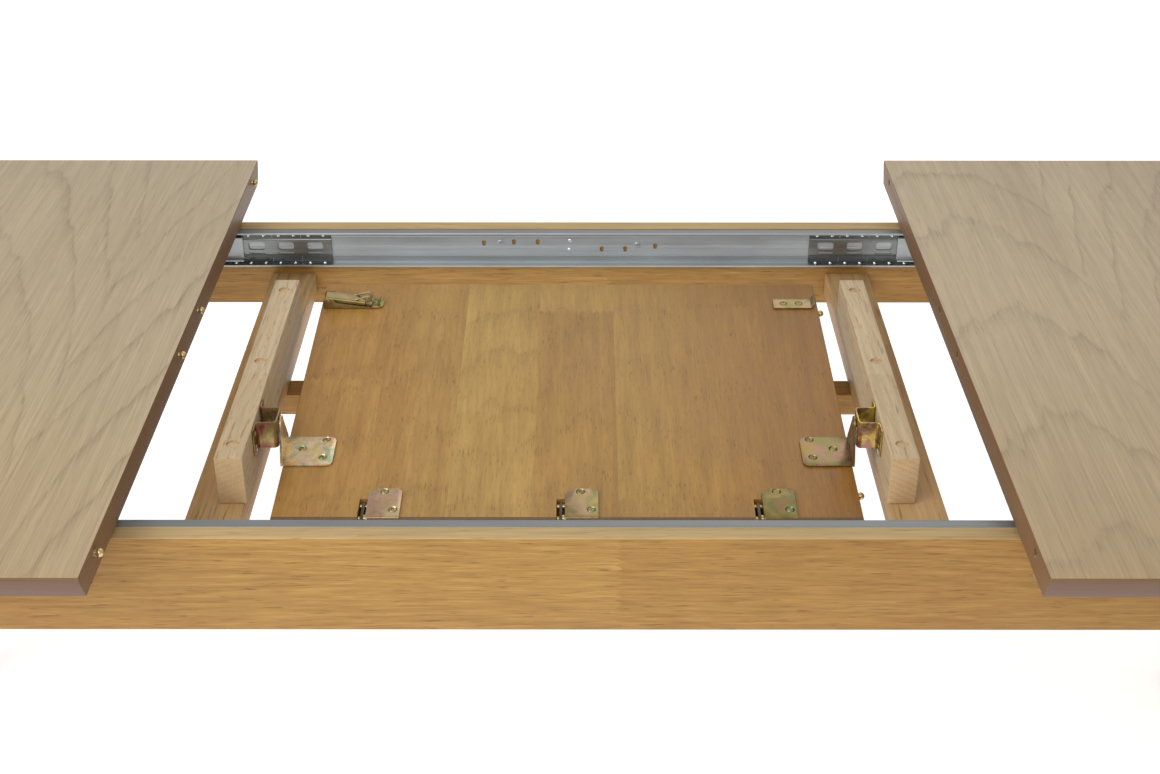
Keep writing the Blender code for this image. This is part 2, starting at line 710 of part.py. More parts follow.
def main():
    clear_scene()
    mats = make_materials()

    make_aprons(mats)
    for x_name, side_x in SIDES:
        for y_name, side_y in FACES:
            make_leg(f"{x_name}_{y_name}_leg", side_x, side_y, mats["apron"])
            make_corner_block(f"{x_name}_{y_name}_corner_block", side_x, side_y, mats["beam"])
    make_crossbeams(mats)

    top_halves, cages = {}, {}
    for name, way in SIDES:
        top_halves[name] = empty(f"{name}_top_body", (way * EDGE_X, 0, TABLE_HEIGHT))
        cages[name] = empty(f"{name}_cage_body", (way * (EDGE_X - CAGE_REACH), 0, SLIDE_MIDDLE))
        make_top_half(name, way, mats, top_halves[name])
        make_cleats(name, way, mats, top_halves[name])
        make_pivot_bracket(name, way, mats)
    make_slides(mats, top_halves, cages)
    for i, y in enumerate(sorted(PIN_YS), start=1):
        make_pin(f"left_top_pin_{i}", -EDGE_X, 1.0, y, mats["brass"], top_halves["left"])
    make_strike("left_top", -EDGE_X, TOP_UNDERSIDE, mats, top_halves["left"])
    lever = empty("top_latch_lever_body", lever_pivot(EDGE_X, TOP_UNDERSIDE), top_halves["right"])
    make_latch("right_top", EDGE_X, TOP_UNDERSIDE, mats, top_halves["right"], lever)

    leaf_a = empty("leaf_a_body", (0, PIVOT_Y, PIVOT_Z))
    leaf_b = empty("leaf_b_body", (0, 0, TABLE_HEIGHT + LEAF_SEAM / 2), leaf_a)
    half = LEAF_LENGTH / 2
    lever = empty("leaf_latch_lever_body", lever_pivot(-half, LEAF_UNDERSIDE), leaf_a)
    make_leaf_panel("a", -1.0, mats, leaf_a)
    make_leaf_panel("b", 1.0, mats, leaf_b)
    make_fold_hinges("a", -1.0, mats, leaf_a)
    make_fold_hinges("b", 1.0, mats, leaf_b)
    for name, way in SIDES:
        make_pivot_plate(name, way, mats, leaf_a)
    make_latch("leaf", -half, LEAF_UNDERSIDE, mats, leaf_a, lever)
    make_strike("leaf", half, LEAF_UNDERSIDE, mats, leaf_a)

    # Folding b over a, then turning both about the pivot, lays the pack on the stow rail
    leaf_b.rotation_euler = (math.pi - stow_opening(), 0, 0)
    leaf_a.rotation_euler = (-FLIP_ANGLE, 0, 0)


main()
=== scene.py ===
import math

import bmesh
import bpy
from mathutils import Matrix, Vector


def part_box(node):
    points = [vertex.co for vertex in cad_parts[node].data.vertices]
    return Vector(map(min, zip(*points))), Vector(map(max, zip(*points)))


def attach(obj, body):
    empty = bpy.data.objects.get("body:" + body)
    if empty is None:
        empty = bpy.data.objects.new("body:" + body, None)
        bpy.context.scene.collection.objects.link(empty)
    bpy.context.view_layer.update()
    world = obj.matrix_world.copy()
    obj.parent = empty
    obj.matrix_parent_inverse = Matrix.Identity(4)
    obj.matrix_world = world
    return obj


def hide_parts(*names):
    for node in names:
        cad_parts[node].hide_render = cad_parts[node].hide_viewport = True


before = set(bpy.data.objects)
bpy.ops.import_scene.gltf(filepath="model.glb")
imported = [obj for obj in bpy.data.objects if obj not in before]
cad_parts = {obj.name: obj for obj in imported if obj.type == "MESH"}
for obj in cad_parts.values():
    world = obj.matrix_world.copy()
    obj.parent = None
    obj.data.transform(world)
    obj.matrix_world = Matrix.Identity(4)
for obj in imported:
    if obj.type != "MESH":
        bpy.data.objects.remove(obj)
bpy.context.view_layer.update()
sides = (("left", -1), ("right", 1))
faces = (("front", -1), ("back", 1))
print("frame loaded:", len(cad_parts), "nodes")


# Holding, placing and shaping

def letGo():
    if bpy.context.mode != "OBJECT":
        bpy.ops.object.mode_set(mode="OBJECT")
    bpy.ops.object.select_all(action="DESELECT")


def hold(obj):
    letGo()
    obj.select_set(True)
    bpy.context.view_layer.objects.active = obj
    return obj


def settle(obj, name=None):
    hold(obj)
    bpy.ops.object.transform_apply(location=True, rotation=True, scale=True)
    if name:
        obj.name = obj.data.name = name
    return obj


def pick(obj, kind, test):
    # edit mode, holding only the faces, edges or points that pass: test(middle, direction)
    hold(obj)
    bpy.ops.object.mode_set(mode="EDIT")
    bpy.ops.mesh.select_mode(type=kind)
    bpy.ops.mesh.select_all(action="DESELECT")
    mesh = bmesh.from_edit_mesh(obj.data)
    if kind == "FACE":
        found = [f for f in mesh.faces if test(f.calc_center_median(), f.normal)]
    elif kind == "EDGE":
        found = [
            e for e in mesh.edges
            if test((e.verts[0].co + e.verts[1].co) / 2, (e.verts[1].co - e.verts[0].co).normalized())
        ]
    else:
        found = [v for v in mesh.verts if test(v.co, v.normal)]
    for item in found:
        item.select_set(True)
    mesh.select_flush_mode()
    bmesh.update_edit_mesh(obj.data)


def useModifier(obj, kind, **values):
    hold(obj)
    modifier = obj.modifiers.new(kind.lower(), kind)
    for key, value in values.items():
        setattr(modifier, key, value)
    bpy.ops.object.modifier_apply(modifier=modifier.name)


def easeEdges(obj, width, segments=2, angle=35):
    useModifier(
        obj, "BEVEL", width=width, segments=segments, limit_method="ANGLE",
        angle_limit=math.radians(angle),
    )


def cutAway(obj, *cutters):
    for cutter in cutters:
        useModifier(obj, "BOOLEAN", operation="DIFFERENCE", solver="EXACT", object=cutter)
        bpy.data.objects.remove(cutter)
    return obj


def joinAll(name, parts):
    letGo()
    for part in parts:
        part.select_set(True)
    bpy.context.view_layer.objects.active = parts[0]
    if len(parts) > 1:
        bpy.ops.object.join()
    return settle(bpy.context.view_layer.objects.active, name)


def copyTo(source, name, matrix):
    made = source.copy()
    made.data = source.data.copy()
    bpy.context.scene.collection.objects.link(made)
    made.matrix_world = matrix
    return settle(made, name)


def addBlock(name, cornerA, cornerB):
    letGo()
    low, high = Vector(map(min, cornerA, cornerB)), Vector(map(max, cornerA, cornerB))
    bpy.ops.mesh.primitive_cube_add(size=1, location=(low + high) / 2, scale=high - low)
    return settle(bpy.context.object, name)


def addRod(name, start, end, radius, sides=20):
    letGo()
    start, end = Vector(start), Vector(end)
    along = end - start
    bpy.ops.mesh.primitive_cylinder_add(
        vertices=sides, radius=radius, depth=along.length, location=(start + end) / 2,
        rotation=along.to_track_quat("Z", "Y").to_euler(),
    )
    return settle(bpy.context.object, name)


def addBall(name, centre, radius, segments=12, rings=8):
    letGo()
    bpy.ops.mesh.primitive_uv_sphere_add(
        segments=segments, ring_count=rings, radius=radius, location=centre
    )
    return settle(bpy.context.object, name)


def roundedPath(points, reach, steps=3):
    # every corner becomes a short arc that starts reach before it
    points = [Vector(p) for p in points]
    path = [points[0]]
    for before, corner, after in zip(points, points[1:], points[2:]):
        back, ahead = before - corner, after - corner
        room = min(reach, back.length * 0.45, ahead.length * 0.45)
        start, end = corner + back.normalized() * room, corner + ahead.normalized() * room
        for i in range(steps + 1):
            t = i / steps
            path.append(start * (1 - t) ** 2 + corner * 2 * t * (1 - t) + end * t * t)
    return path + [points[-1]]


def drawLine(name, points):
    # a chain of points drawn one after another; it stays in edit mode
    letGo()
    bpy.ops.mesh.primitive_plane_add(size=0.01, location=points[0])
    line = settle(bpy.context.object, name)
    bpy.ops.object.mode_set(mode="EDIT")
    bpy.ops.mesh.select_mode(type="VERT")
    bpy.ops.mesh.select_all(action="SELECT")
    bpy.ops.mesh.merge(type="CENTER")
    for before, after in zip(points, points[1:]):
        step = Vector(after) - Vector(before)
        bpy.ops.mesh.extrude_region_move(TRANSFORM_OT_translate={"value": step})
    bpy.ops.mesh.select_all(action="SELECT")
    return line


def closeUp(obj):
    bpy.ops.mesh.select_all(action="SELECT")
    bpy.ops.mesh.remove_doubles(threshold=0.000002)
    bpy.ops.mesh.normals_make_consistent(inside=False)
    bpy.ops.object.mode_set(mode="OBJECT")
    return obj


def cutPlate(name, outline, across):
    # a flat outline given its thickness
    plate = drawLine(name, outline)
    bpy.ops.mesh.edge_face_add()
    bpy.ops.mesh.extrude_region_move(TRANSFORM_OT_translate={"value": Vector(across)})
    return closeUp(plate)


def foldStrip(name, path, across, stock, reach=0.0015, steps=3):
    # sheet metal bent along path and pulled out along across
    strip = drawLine(name, roundedPath(path, reach, steps))
    bpy.ops.mesh.extrude_region_move(TRANSFORM_OT_translate={"value": Vector(across)})
    bpy.ops.object.mode_set(mode="OBJECT")
    useModifier(strip, "SOLIDIFY", thickness=stock, offset=0, use_even_offset=True)
    bpy.ops.object.mode_set(mode="EDIT")
    return closeUp(strip)


def turnShape(name, profile, foot, axis, steps=24):
    # profile: (height, radius) pairs turned about an axis that starts at foot
    shape = drawLine(name, [(radius, 0, height) for height, radius in profile])
    bpy.ops.mesh.spin(
        steps=steps, angle=math.tau, center=(0, 0, 0), axis=(0, 0, 1), use_auto_merge=True
    )
    closeUp(shape)
    shape.matrix_world = (
        Matrix.Translation(foot) @ Vector(axis).to_track_quat("Z", "Y").to_matrix().to_4x4()
    )
    return settle(shape, name)


def bendWire(name, points, radius, reach, sides=3):
    path = roundedPath(points, reach, 5)
    curve = bpy.data.curves.new(name, "CURVE")
    curve.dimensions = "3D"
    curve.bevel_depth = radius
    curve.bevel_resolution = sides
    curve.use_fill_caps = True
    spline = curve.splines.new("POLY")
    spline.points.add(len(path) - 1)
    for spot, point in zip(spline.points, path):
        spot.co = (*point, 1)
    wire = bpy.data.objects.new(name, curve)
    bpy.context.scene.collection.objects.link(wire)
    hold(wire)
    bpy.ops.object.convert(target="MESH")
    return settle(bpy.context.object, name)


def paint(obj, index, test):
    for face in obj.data.polygons:
        if test(face.center, face.normal):
            face.material_index = index


def fit(piece, body, finishes, slot, *nodes, angle=35):
    hold(piece)
    bpy.ops.object.shade_smooth_by_angle(angle=math.radians(angle))
    if not piece.data.materials:
        for finish in finishes:
            piece.data.materials.append(finish)
    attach(piece, body)
    if nodes:
        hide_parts(*nodes)
    return piece


# Finishes

class Finish:
    # one material, with short ways to add its nodes
    def __init__(self, name):
        self.material = bpy.data.materials.new(name)
        self.material.use_nodes = True
        self.tree = self.material.node_tree
        self.shader = self.tree.nodes["Principled BSDF"]
        self.place = self.node("ShaderNodeTexCoord").outputs["Object"]

    def node(self, kind, **settings):
        made = self.tree.nodes.new(kind)
        for key, value in settings.items():
            setattr(made, key, value)
        return made

    def feed(self, socket, value):
        if isinstance(value, bpy.types.NodeSocket):
            self.tree.links.new(value, socket)
        elif socket.type == "RGBA":
            socket.default_value = (*value[:3], 1) if hasattr(value, "__len__") else (value,) * 3 + (1,)
        else:
            socket.default_value = value

    def maths(self, operation, *values):
        made = self.node("ShaderNodeMath", operation=operation)
        for socket, value in zip(made.inputs, values):
            self.feed(socket, value)
        return made.outputs[0]

    def total(self, first, *others):
        for other in others:
            first = self.maths("ADD", first, other)
        return first

    def times(self, first, *others):
        for other in others:
            first = self.maths("MULTIPLY", first, other)
        return first

    def axes(self, point):
        made = self.node("ShaderNodeSeparateXYZ")
        self.feed(made.inputs[0], point)
        return made.outputs[0], made.outputs[1], made.outputs[2]

    def point(self, *values):
        made = self.node("ShaderNodeCombineXYZ")
        for socket, value in zip(made.inputs, values):
            self.feed(socket, value)
        return made.outputs[0]

    def cloud(self, point, scale=1.0, detail=2.0, rough=0.5, warp=0.0):
        made = self.node("ShaderNodeTexNoise")
        settings = {
            "Vector": point, "Scale": scale, "Detail": detail, "Roughness": rough, "Distortion": warp,
        }
        for key, value in settings.items():
            self.feed(made.inputs[key], value)
        return made.outputs["Fac"]

    def chance(self, value):
        # three random numbers for each whole number
        made = self.node("ShaderNodeTexWhiteNoise", noise_dimensions="1D")
        self.feed(made.inputs["W"], value)
        return self.axes(made.outputs["Color"])

    def blend(self, share, under, over, mode="MIX"):
        made = self.node("ShaderNodeMix", data_type="RGBA", blend_type=mode)
        for socket, value in ((made.inputs[0], share), (made.inputs[6], under), (made.inputs[7], over)):
            self.feed(socket, value)
        return made.outputs[2]

    def steps(self, value, *stops):
        made = self.node("ShaderNodeValToRGB")
        ramp = made.color_ramp
        while len(ramp.elements) < len(stops):
            ramp.elements.new(0.5)
        for element, (place, colour) in zip(ramp.elements, stops):
            element.position = place
            element.color = (*colour, 1) if hasattr(colour, "__len__") else (colour,) * 3 + (1,)
        self.feed(made.inputs[0], value)
        return made.outputs[0]

    def spread(self, value, low, high, newLow, newHigh):
        made = self.node("ShaderNodeMapRange")
        for socket, item in zip(made.inputs, (value, low, high, newLow, newHigh)):
            self.feed(socket, item)
        return made.outputs[0]

    def relief(self, height, strength, distance):
        made = self.node("ShaderNodeBump")
        for key, value in (("Height", height), ("Strength", strength), ("Distance", distance)):
            self.feed(made.inputs[key], value)
        self.feed(self.shader.inputs["Normal"], made.outputs[0])

    def surface(self, **values):
        for key, value in values.items():
            self.feed(self.shader.inputs[key.replace("_", " ")], value)
        return self.material


woodBase = {
    "axes": "XZY",  # along the grain, across it, and through the board
    "stripWidth": 3.0, "stripShift": 1.5, "pieceLength": 30.0, "fingerPitch": 0.008, "fingerDepth": 1.6,
    "ringGap": 0.006, "pith": 0.05, "ringShift": 0.05, "taper": 0.03,
    "wobble": 0.012, "wobbleAcross": 9.0, "wobbleAlong": 1.6, "ripple": 0.0015,
    "tones": ((0.0, (0.42, 0.26, 0.10)), (1.0, (0.50, 0.31, 0.12))), "late": (0.25, 0.13, 0.05),
    "lateShare": 0.5, "toneShare": 0.6, "fibre": 320.0, "fibreShare": 0.12, "fibreStretch": 0.03,
    "streak": 90.0, "streakShare": 0.06, "streakStretch": 0.025, "warmth": 1.35,
    "poreScale": 700.0, "poreStretch": 0.05, "poreCut": 0.64, "poreTone": (0.10, 0.05, 0.02),
    "poreShare": 0.5, "poreBase": 0.45, "lateWidth": 0.5, "rough": 0.45, "gloss": 0.3, "bump": 0.25,
    "salt": 1.0, "centre": 0.0, "facesAt": 0.0, "pieceShift": 0.0,
    "drift": ((0.0, 1.0), (1.0, 1.0)), "driftSpan": 0.3,  # colour multiplied from side to side of the grain: tints, and on the veneer a painted shade
    "sweep": ((0.0, 1.0), (1.0, 1.0)), "sweepSpan": 0.45,  # and along it: painted shade and painted sheen on the veneer, painted shade on the aprons
}


def makeWood(name, **changes):
    look = {**woodBase, **changes}
    wood = Finish(name)
    total, times, spread = wood.total, wood.times, wood.spread
    xyz = dict(zip("XYZ", wood.axes(wood.place)))
    along, across, deep = (xyz[letter] for letter in look["axes"])
    across = total(across, -look["centre"])
    if look["facesAt"]:
        deep = total(wood.maths("ABSOLUTE", deep), -look["facesAt"])

    def drawnOut(scale, stretch, detail, rough=0.5, shift=0.0):
        # a cloud stretched along the grain
        depth = total(times(deep, scale), shift)
        return wood.cloud(
            wood.point(times(across, scale), times(along, scale * stretch), depth), 1, detail, rough
        )

    # the board is glued up from strips, and each strip from finger-jointed pieces
    strip = wood.maths("FLOOR", total(times(across, 1 / look["stripWidth"]), look["stripShift"]))
    offset = wood.chance(total(times(strip, 1.37), look["salt"]))[0]
    teeth = times(wood.maths("PINGPONG", across, look["fingerPitch"] / 2), look["fingerDepth"])
    lengths = times(total(along, teeth), 1 / look["pieceLength"])
    piece = wood.maths("FLOOR", total(lengths, times(offset, 5.3), look["pieceShift"]))
    first, second, third = wood.chance(total(times(strip, 3.71), times(piece, 7.93), look["salt"]))

    # growth rings about a pith line below the face, drifting along the grain
    middle = times(total(strip, 0.5 - look["stripShift"]), look["stripWidth"])
    sideways = total(across, times(middle, -1), times(total(first, -0.5), look["ringShift"]))
    below = total(deep, times(total(times(second, 1.2), 0.4), look["pith"]))
    turn = times(third, 40)
    bend = drawnOut(look["wobbleAcross"], look["wobbleAlong"] / look["wobbleAcross"], 2, shift=turn)
    ripple = drawnOut(60, 7 / 60, 2, shift=turn)
    radius = total(
        wood.maths("SQRT", total(times(sideways, sideways), times(below, below))),
        times(along, look["taper"]), times(total(bend, -0.5), look["wobble"]),
        times(total(ripple, -0.5), look["ripple"]),
    )
    ring = wood.maths("FRACT", times(radius, 1 / look["ringGap"]))
    width = look["lateWidth"]
    late = wood.steps(
        ring, (0.0, 0.25), (0.24 * width, 0.0), (1 - width, 0.08), (1 - 0.4 * width, 0.5),
        (1 - 0.1 * width, 1.0), (1.0, 0.3),
    )
    patches = wood.cloud(wood.point(times(across, 14), times(along, 2.2), turn), 1, 2)
    fade = spread(patches, 0.35, 0.65, 0.25, 1.0)

    fibre = drawnOut(look["fibre"], look["fibreStretch"], 3, 0.6)
    streak = drawnOut(look["streak"], look["streakStretch"], 3, 0.55, turn)
    pore = drawnOut(look["poreScale"], look["poreStretch"], 1)
    pore = spread(pore, look["poreCut"], look["poreCut"] + 0.08, 0.0, 1.0)
    pore = times(pore, spread(late, 0.0, 0.6, look["poreBase"], 1.0))

    broad = wood.cloud(wood.point(times(across, 7), times(along, 1.3), turn), 1, 2)
    tone = total(times(third, look["toneShare"]), times(broad, 1 - look["toneShare"]))
    colour = wood.steps(tone, *look["tones"])
    # ramps that multiply the colour across and along the grain: they carry the tints and the painted shade
    # and sheen
    for place, key in ((across, "drift"), (along, "sweep")):
        span = look[key + "Span"]
        ramp = wood.steps(spread(place, -span, span, 0.0, 1.0), *look[key])
        colour = wood.blend(1.0, colour, ramp, "MULTIPLY")
    colour = wood.blend(times(late, fade, look["lateShare"]), colour, look["late"])
    shade = times(
        spread(fibre, 0.25, 0.75, 1 - look["fibreShare"], 1 + look["fibreShare"]),
        spread(streak, 0.3, 0.7, 1 - look["streakShare"], 1 + look["streakShare"]),
    )
    warm = [wood.maths("POWER", shade, power) for power in ((1 + look["warmth"]) / 2, look["warmth"])]
    colour = wood.blend(1.0, colour, wood.point(shade, *warm), "MULTIPLY")
    colour = wood.blend(times(pore, look["poreShare"]), colour, look["poreTone"])
    wood.relief(total(times(fibre, 0.4), times(pore, -0.8), times(late, -0.2)), look["bump"], 0.0004)
    return wood.surface(
        Base_Color=colour, Roughness=spread(fibre, 0.2, 0.8, look["rough"] - 0.05, look["rough"] + 0.07),
        Specular_IOR_Level=look["gloss"],
    )


def makeSteel(name, tone, rough, streak, salt, metal):
    # rolled steel, drawn along X, with a faint cloudy plating
    steel = Finish(name)
    x, y, z = steel.axes(steel.place)
    lines = steel.point(steel.times(x, 3), steel.times(y, 500), steel.times(z, 500))
    lines = steel.cloud(lines, 1, 3, 0.65)
    haze = steel.cloud(
        steel.point(steel.times(x, 14), steel.times(y, 60), steel.total(steel.times(z, 60), salt)), 1, 3
    )
    share = steel.total(steel.times(lines, 0.6), steel.times(haze, 0.4))
    low, high = [tuple(c * k for c in tone) for k in (1 - 2 * streak, 1 + 2 * streak)]
    steel.relief(lines, 0.12, 0.0002)
    return steel.surface(
        Base_Color=steel.steps(share, (0.25, low), (0.75, high)), Metallic=metal,
        Roughness=steel.spread(share, 0.3, 0.7, rough - 0.06, rough + 0.1),
    )


def makePlating(name, rough, scale, salt, *tints):
    # yellow zinc: the film's thickness drifts, and its colour with it
    plating = Finish(name)
    x, y, z = plating.axes(plating.place)
    spot = plating.point(x, y, plating.total(z, salt))
    film = plating.cloud(spot, scale, 2, 0.45, 0.6)
    fine = plating.cloud(spot, 900, 2)
    worn = plating.cloud(spot, 160, 3)
    stops = [(0.3 + 0.4 * i / (len(tints) - 1), tint) for i, tint in enumerate(tints)]
    grey = plating.spread(worn, 0.3, 0.7, 0.88, 1.1)
    colour = plating.blend(1.0, plating.steps(film, *stops), plating.point(grey, grey, grey), "MULTIPLY")
    plating.relief(fine, 0.08, 0.0002)
    rough = plating.spread(worn, 0.3, 0.7, rough - 0.07, rough + 0.12)
    return plating.surface(Base_Color=colour, Metallic=0.85, Roughness=rough)


golden = ((0.15, (0.270, 0.132, 0.033)), (0.5, (0.345, 0.188, 0.050)), (0.85, (0.410, 0.240, 0.074)))
apronLook = {
    "ringGap": 0.0075, "pith": 0.020, "ringShift": 0.03, "taper": 0.045, "wobble": 0.016,
    "wobbleAcross": 12.0, "wobbleAlong": 2.0, "ripple": 0.003, "tones": golden, "toneShare": 0.4,
    "late": (0.190, 0.088, 0.022), "lateShare": 0.38, "lateWidth": 0.4, "fibre": 560.0, "fibreShare": 0.17,
    "fibreStretch": 0.05, "streak": 260.0, "streakShare": 0.13, "streakStretch": 0.05, "poreScale": 620.0,
    "poreStretch": 0.07, "poreShare": 0.5, "poreCut": 0.60, "poreBase": 0.35, "rough": 0.4,
    # painted shade: darker and redder towards the low end of the grain, the left end of the long aprons
    "gloss": 0.24, "sweep": ((0.0, (0.84, 0.76, 0.66)), (0.36, 1.0), (1.0, 1.0)), "sweepSpan": 0.9,
}
bands = {  # grain axes, dark and light tone, late wood, and the shares of late wood, fibre and pores
    "edgeBand": ("YZX", (0.165, 0.086, 0.038), (0.20, 0.108, 0.05), (0.08, 0.042, 0.02), 0.25, 0.08, 0.15),
    "noseBand": ("XZY", (0.14, 0.078, 0.03), (0.175, 0.10, 0.042), (0.09, 0.05, 0.02), 0.3, 0.1, 0.2),
    # greyer, bluer copy of the nose band for the downward bevel: painted shade
    "undercutShadeBand": ("XZY", (0.14, 0.078, 0.055), (0.165, 0.095, 0.066), (0.1, 0.055, 0.04), 0.15, 0.07, 0.1),
}
finishes = {
    "veneer": makeWood(
        "oakVeneer", axes="YXZ", stripWidth=0.36, stripShift=0.4, ringGap=0.0095, pith=0.045,
        ringShift=0.14, taper=0.05, wobble=0.020, wobbleAcross=5.0, wobbleAlong=1.3, ripple=0.0045,
        tones=((0.2, (0.385, 0.295, 0.180)), (0.5, (0.425, 0.333, 0.208)), (0.8, (0.455, 0.36, 0.23))),
        toneShare=0.1, late=(0.225, 0.160, 0.09), lateShare=0.46, lateWidth=0.22, fibre=480.0,
        fibreShare=0.15, fibreStretch=0.016, streak=150.0, streakShare=0.07, streakStretch=0.02,
        warmth=1.15, poreScale=640.0, poreStretch=0.045, poreCut=0.58, poreTone=(0.22, 0.155, 0.09),
        poreShare=0.42, poreBase=0.3, rough=0.46, gloss=0.4, salt=4.0, driftSpan=1.3,
        # painted shade and sheen: across the grain the right half darker; along it the front darker and
        # warmer as painted shade, the back lighter and bluer as painted sheen
        drift=((0.0, 1.0), (0.35, 1.0), (0.66, (0.95, 0.93, 0.90)), (1.0, (0.92, 0.88, 0.84))),
        sweep=((0.0, (0.90, 0.86, 0.78)), (0.5, (1.0, 1.0, 1.0)), (1.0, (1.06, 1.07, 1.10))),
    ),
    "balance": makeWood(
        "balanceVeneer", axes="YXZ", stripWidth=0.31, ringGap=0.009, taper=0.04, wobble=0.03,
        tones=((0.2, (0.30, 0.21, 0.12)), (0.8, (0.37, 0.27, 0.16))), toneShare=0.2,
        late=(0.2, 0.13, 0.07), lateShare=0.35, fibre=260.0, poreShare=0.3, rough=0.6, salt=9.0,
    ),
    "apron": makeWood(
        "apronWood", axes="XZY", pieceLength=0.66, pieceShift=-0.36, centre=0.664, facesAt=0.3405,
        **apronLook, salt=2.0,
    ),
    "apronPale": makeWood(
        "apronTopWood", axes="XYZ", pieceLength=0.66, ringGap=0.005, pith=0.03, taper=0.04,
        tones=((0.2, (0.41, 0.285, 0.125)), (0.8, (0.49, 0.35, 0.165))), toneShare=0.3,
        late=(0.27, 0.17, 0.07), lateShare=0.4, fibreShare=0.14, poreShare=0.35, rough=0.6, salt=2.0,
    ),
    "endApron": makeWood(
        "endApronWood", axes="YZX", pieceLength=0.4, centre=0.664, facesAt=0.878, **apronLook, salt=5.0
    ),
    "leg": makeWood(
        "legWood", **{**apronLook, "axes": "ZXY", "pith": 0.06, "taper": 0.03, "stripWidth": 0.9,
                      "stripShift": 0.0, "salt": 8.0},
    ),
    "beam": makeWood(
        "beamWood", axes="YXZ", ringGap=0.006, pith=0.03, taper=0.02, wobble=0.01, pieceLength=0.5,
        tones=((0.2, (0.45, 0.275, 0.118)), (0.8, (0.58, 0.375, 0.175))), toneShare=0.5,
        late=(0.27, 0.15, 0.06), lateShare=0.45, fibre=300.0, fibreShare=0.14, streakShare=0.1,
        poreScale=420.0, poreShare=0.5, rough=0.5, salt=3.0,
    ),
    "block": makeWood(
        "blockWood", axes="YXZ", ringGap=0.005, pith=0.02, taper=0.05, wobble=0.012, pieceLength=0.31,
        tones=((0.2, (0.45, 0.335, 0.195)), (0.8, (0.55, 0.425, 0.265))), toneShare=0.5,
        late=(0.33, 0.22, 0.11), lateShare=0.4, fibre=300.0, fibreShare=0.14, poreScale=480.0,
        poreStretch=0.09, poreCut=0.6, poreTone=(0.24, 0.15, 0.08), poreShare=0.6, rough=0.65, bump=0.4,
        salt=6.0,
    ),
    "blockEnd": makeWood(
        "blockEndGrain", axes="YXZ", ringGap=0.0055, pith=0.02, taper=0.0, wobble=0.006, pieceLength=3.0,
        tones=((0.2, (0.49, 0.335, 0.175)), (0.8, (0.58, 0.41, 0.225))), toneShare=0.5,
        late=(0.30, 0.17, 0.08), lateShare=0.55, fibre=700.0, fibreShare=0.12, poreScale=900.0,
        poreStretch=1.0, poreTone=(0.24, 0.15, 0.08), poreShare=0.4, rough=0.7, bump=0.4, salt=6.0,
    ),
    "leaf": makeWood(
        "leafWood", axes="YXZ", stripWidth=0.085, stripShift=0.40, pieceLength=0.42, ringGap=0.012,
        pith=0.04, ringShift=0.10, taper=0.05, wobble=0.028, wobbleAcross=10.0, wobbleAlong=1.5,
        ripple=0.004,
        tones=((0.05, (0.325, 0.175, 0.045)), (0.45, (0.400, 0.240, 0.068)), (0.95, (0.445, 0.290, 0.086))),
        drift=((0.0, (1.02, 0.90, 0.82)), (0.17, (1.0, 0.93, 0.86)), (0.24, (1.04, 1.04, 1.02)),
               (0.55, (0.92, 0.86, 0.68)), (0.8, (0.76, 0.61, 0.38)), (1.0, (0.65, 0.47, 0.26))),
        toneShare=0.62, late=(0.25, 0.125, 0.035), lateShare=0.30, fibre=300.0, fibreShare=0.13,
        streak=70.0, streakShare=0.11, poreScale=760.0, poreStretch=0.09, poreCut=0.60, poreShare=0.4,
        poreTone=(0.12, 0.05, 0.014), rough=0.38, gloss=0.27, salt=12.0,
    ),
}
for name, (axes, dark, light, late, *shares) in bands.items():
    finishes[name] = makeWood(
        name, axes=axes, tones=((0.3, dark), (0.7, light)), toneShare=0.0, late=late, lateShare=shares[0],
        fibreShare=shares[1], poreShare=shares[2], rough=0.5,
    )

steels = {  # tone, roughness, streaks, shift of the pattern, metallic
    "slideSteel": ((0.39, 0.42, 0.435), 0.42, 0.10, 0.0, 0.55),
    # darker copy of the slide steel for the top flange: painted shade
    "slidePaintedShade": ((0.215, 0.225, 0.225), 0.45, 0.10, 2.0, 0.5),
    "cageSteel": ((0.19, 0.20, 0.195), 0.30, 0.25, 3.0, 0.75),
    # darker copy of the cage steel: painted shade
    "cagePaintedShade": ((0.11, 0.12, 0.12), 0.40, 0.25, 4.0, 0.6),
    "ballSteel": ((0.80, 0.82, 0.85), 0.12, 0.05, 5.0, 1.0),
    "darkSteel": ((0.10, 0.075, 0.05), 0.4, 0.2, 7.0, 0.9),
}
zinc = {
    "pink": (0.46, 0.29, 0.20), "gold": (0.46, 0.33, 0.10), "green": (0.26, 0.25, 0.075),
    "pale": (0.50, 0.40, 0.20), "teal": (0.24, 0.29, 0.155), "copper": (0.34, 0.17, 0.095),
    "maroon": (0.22, 0.09, 0.06),
}
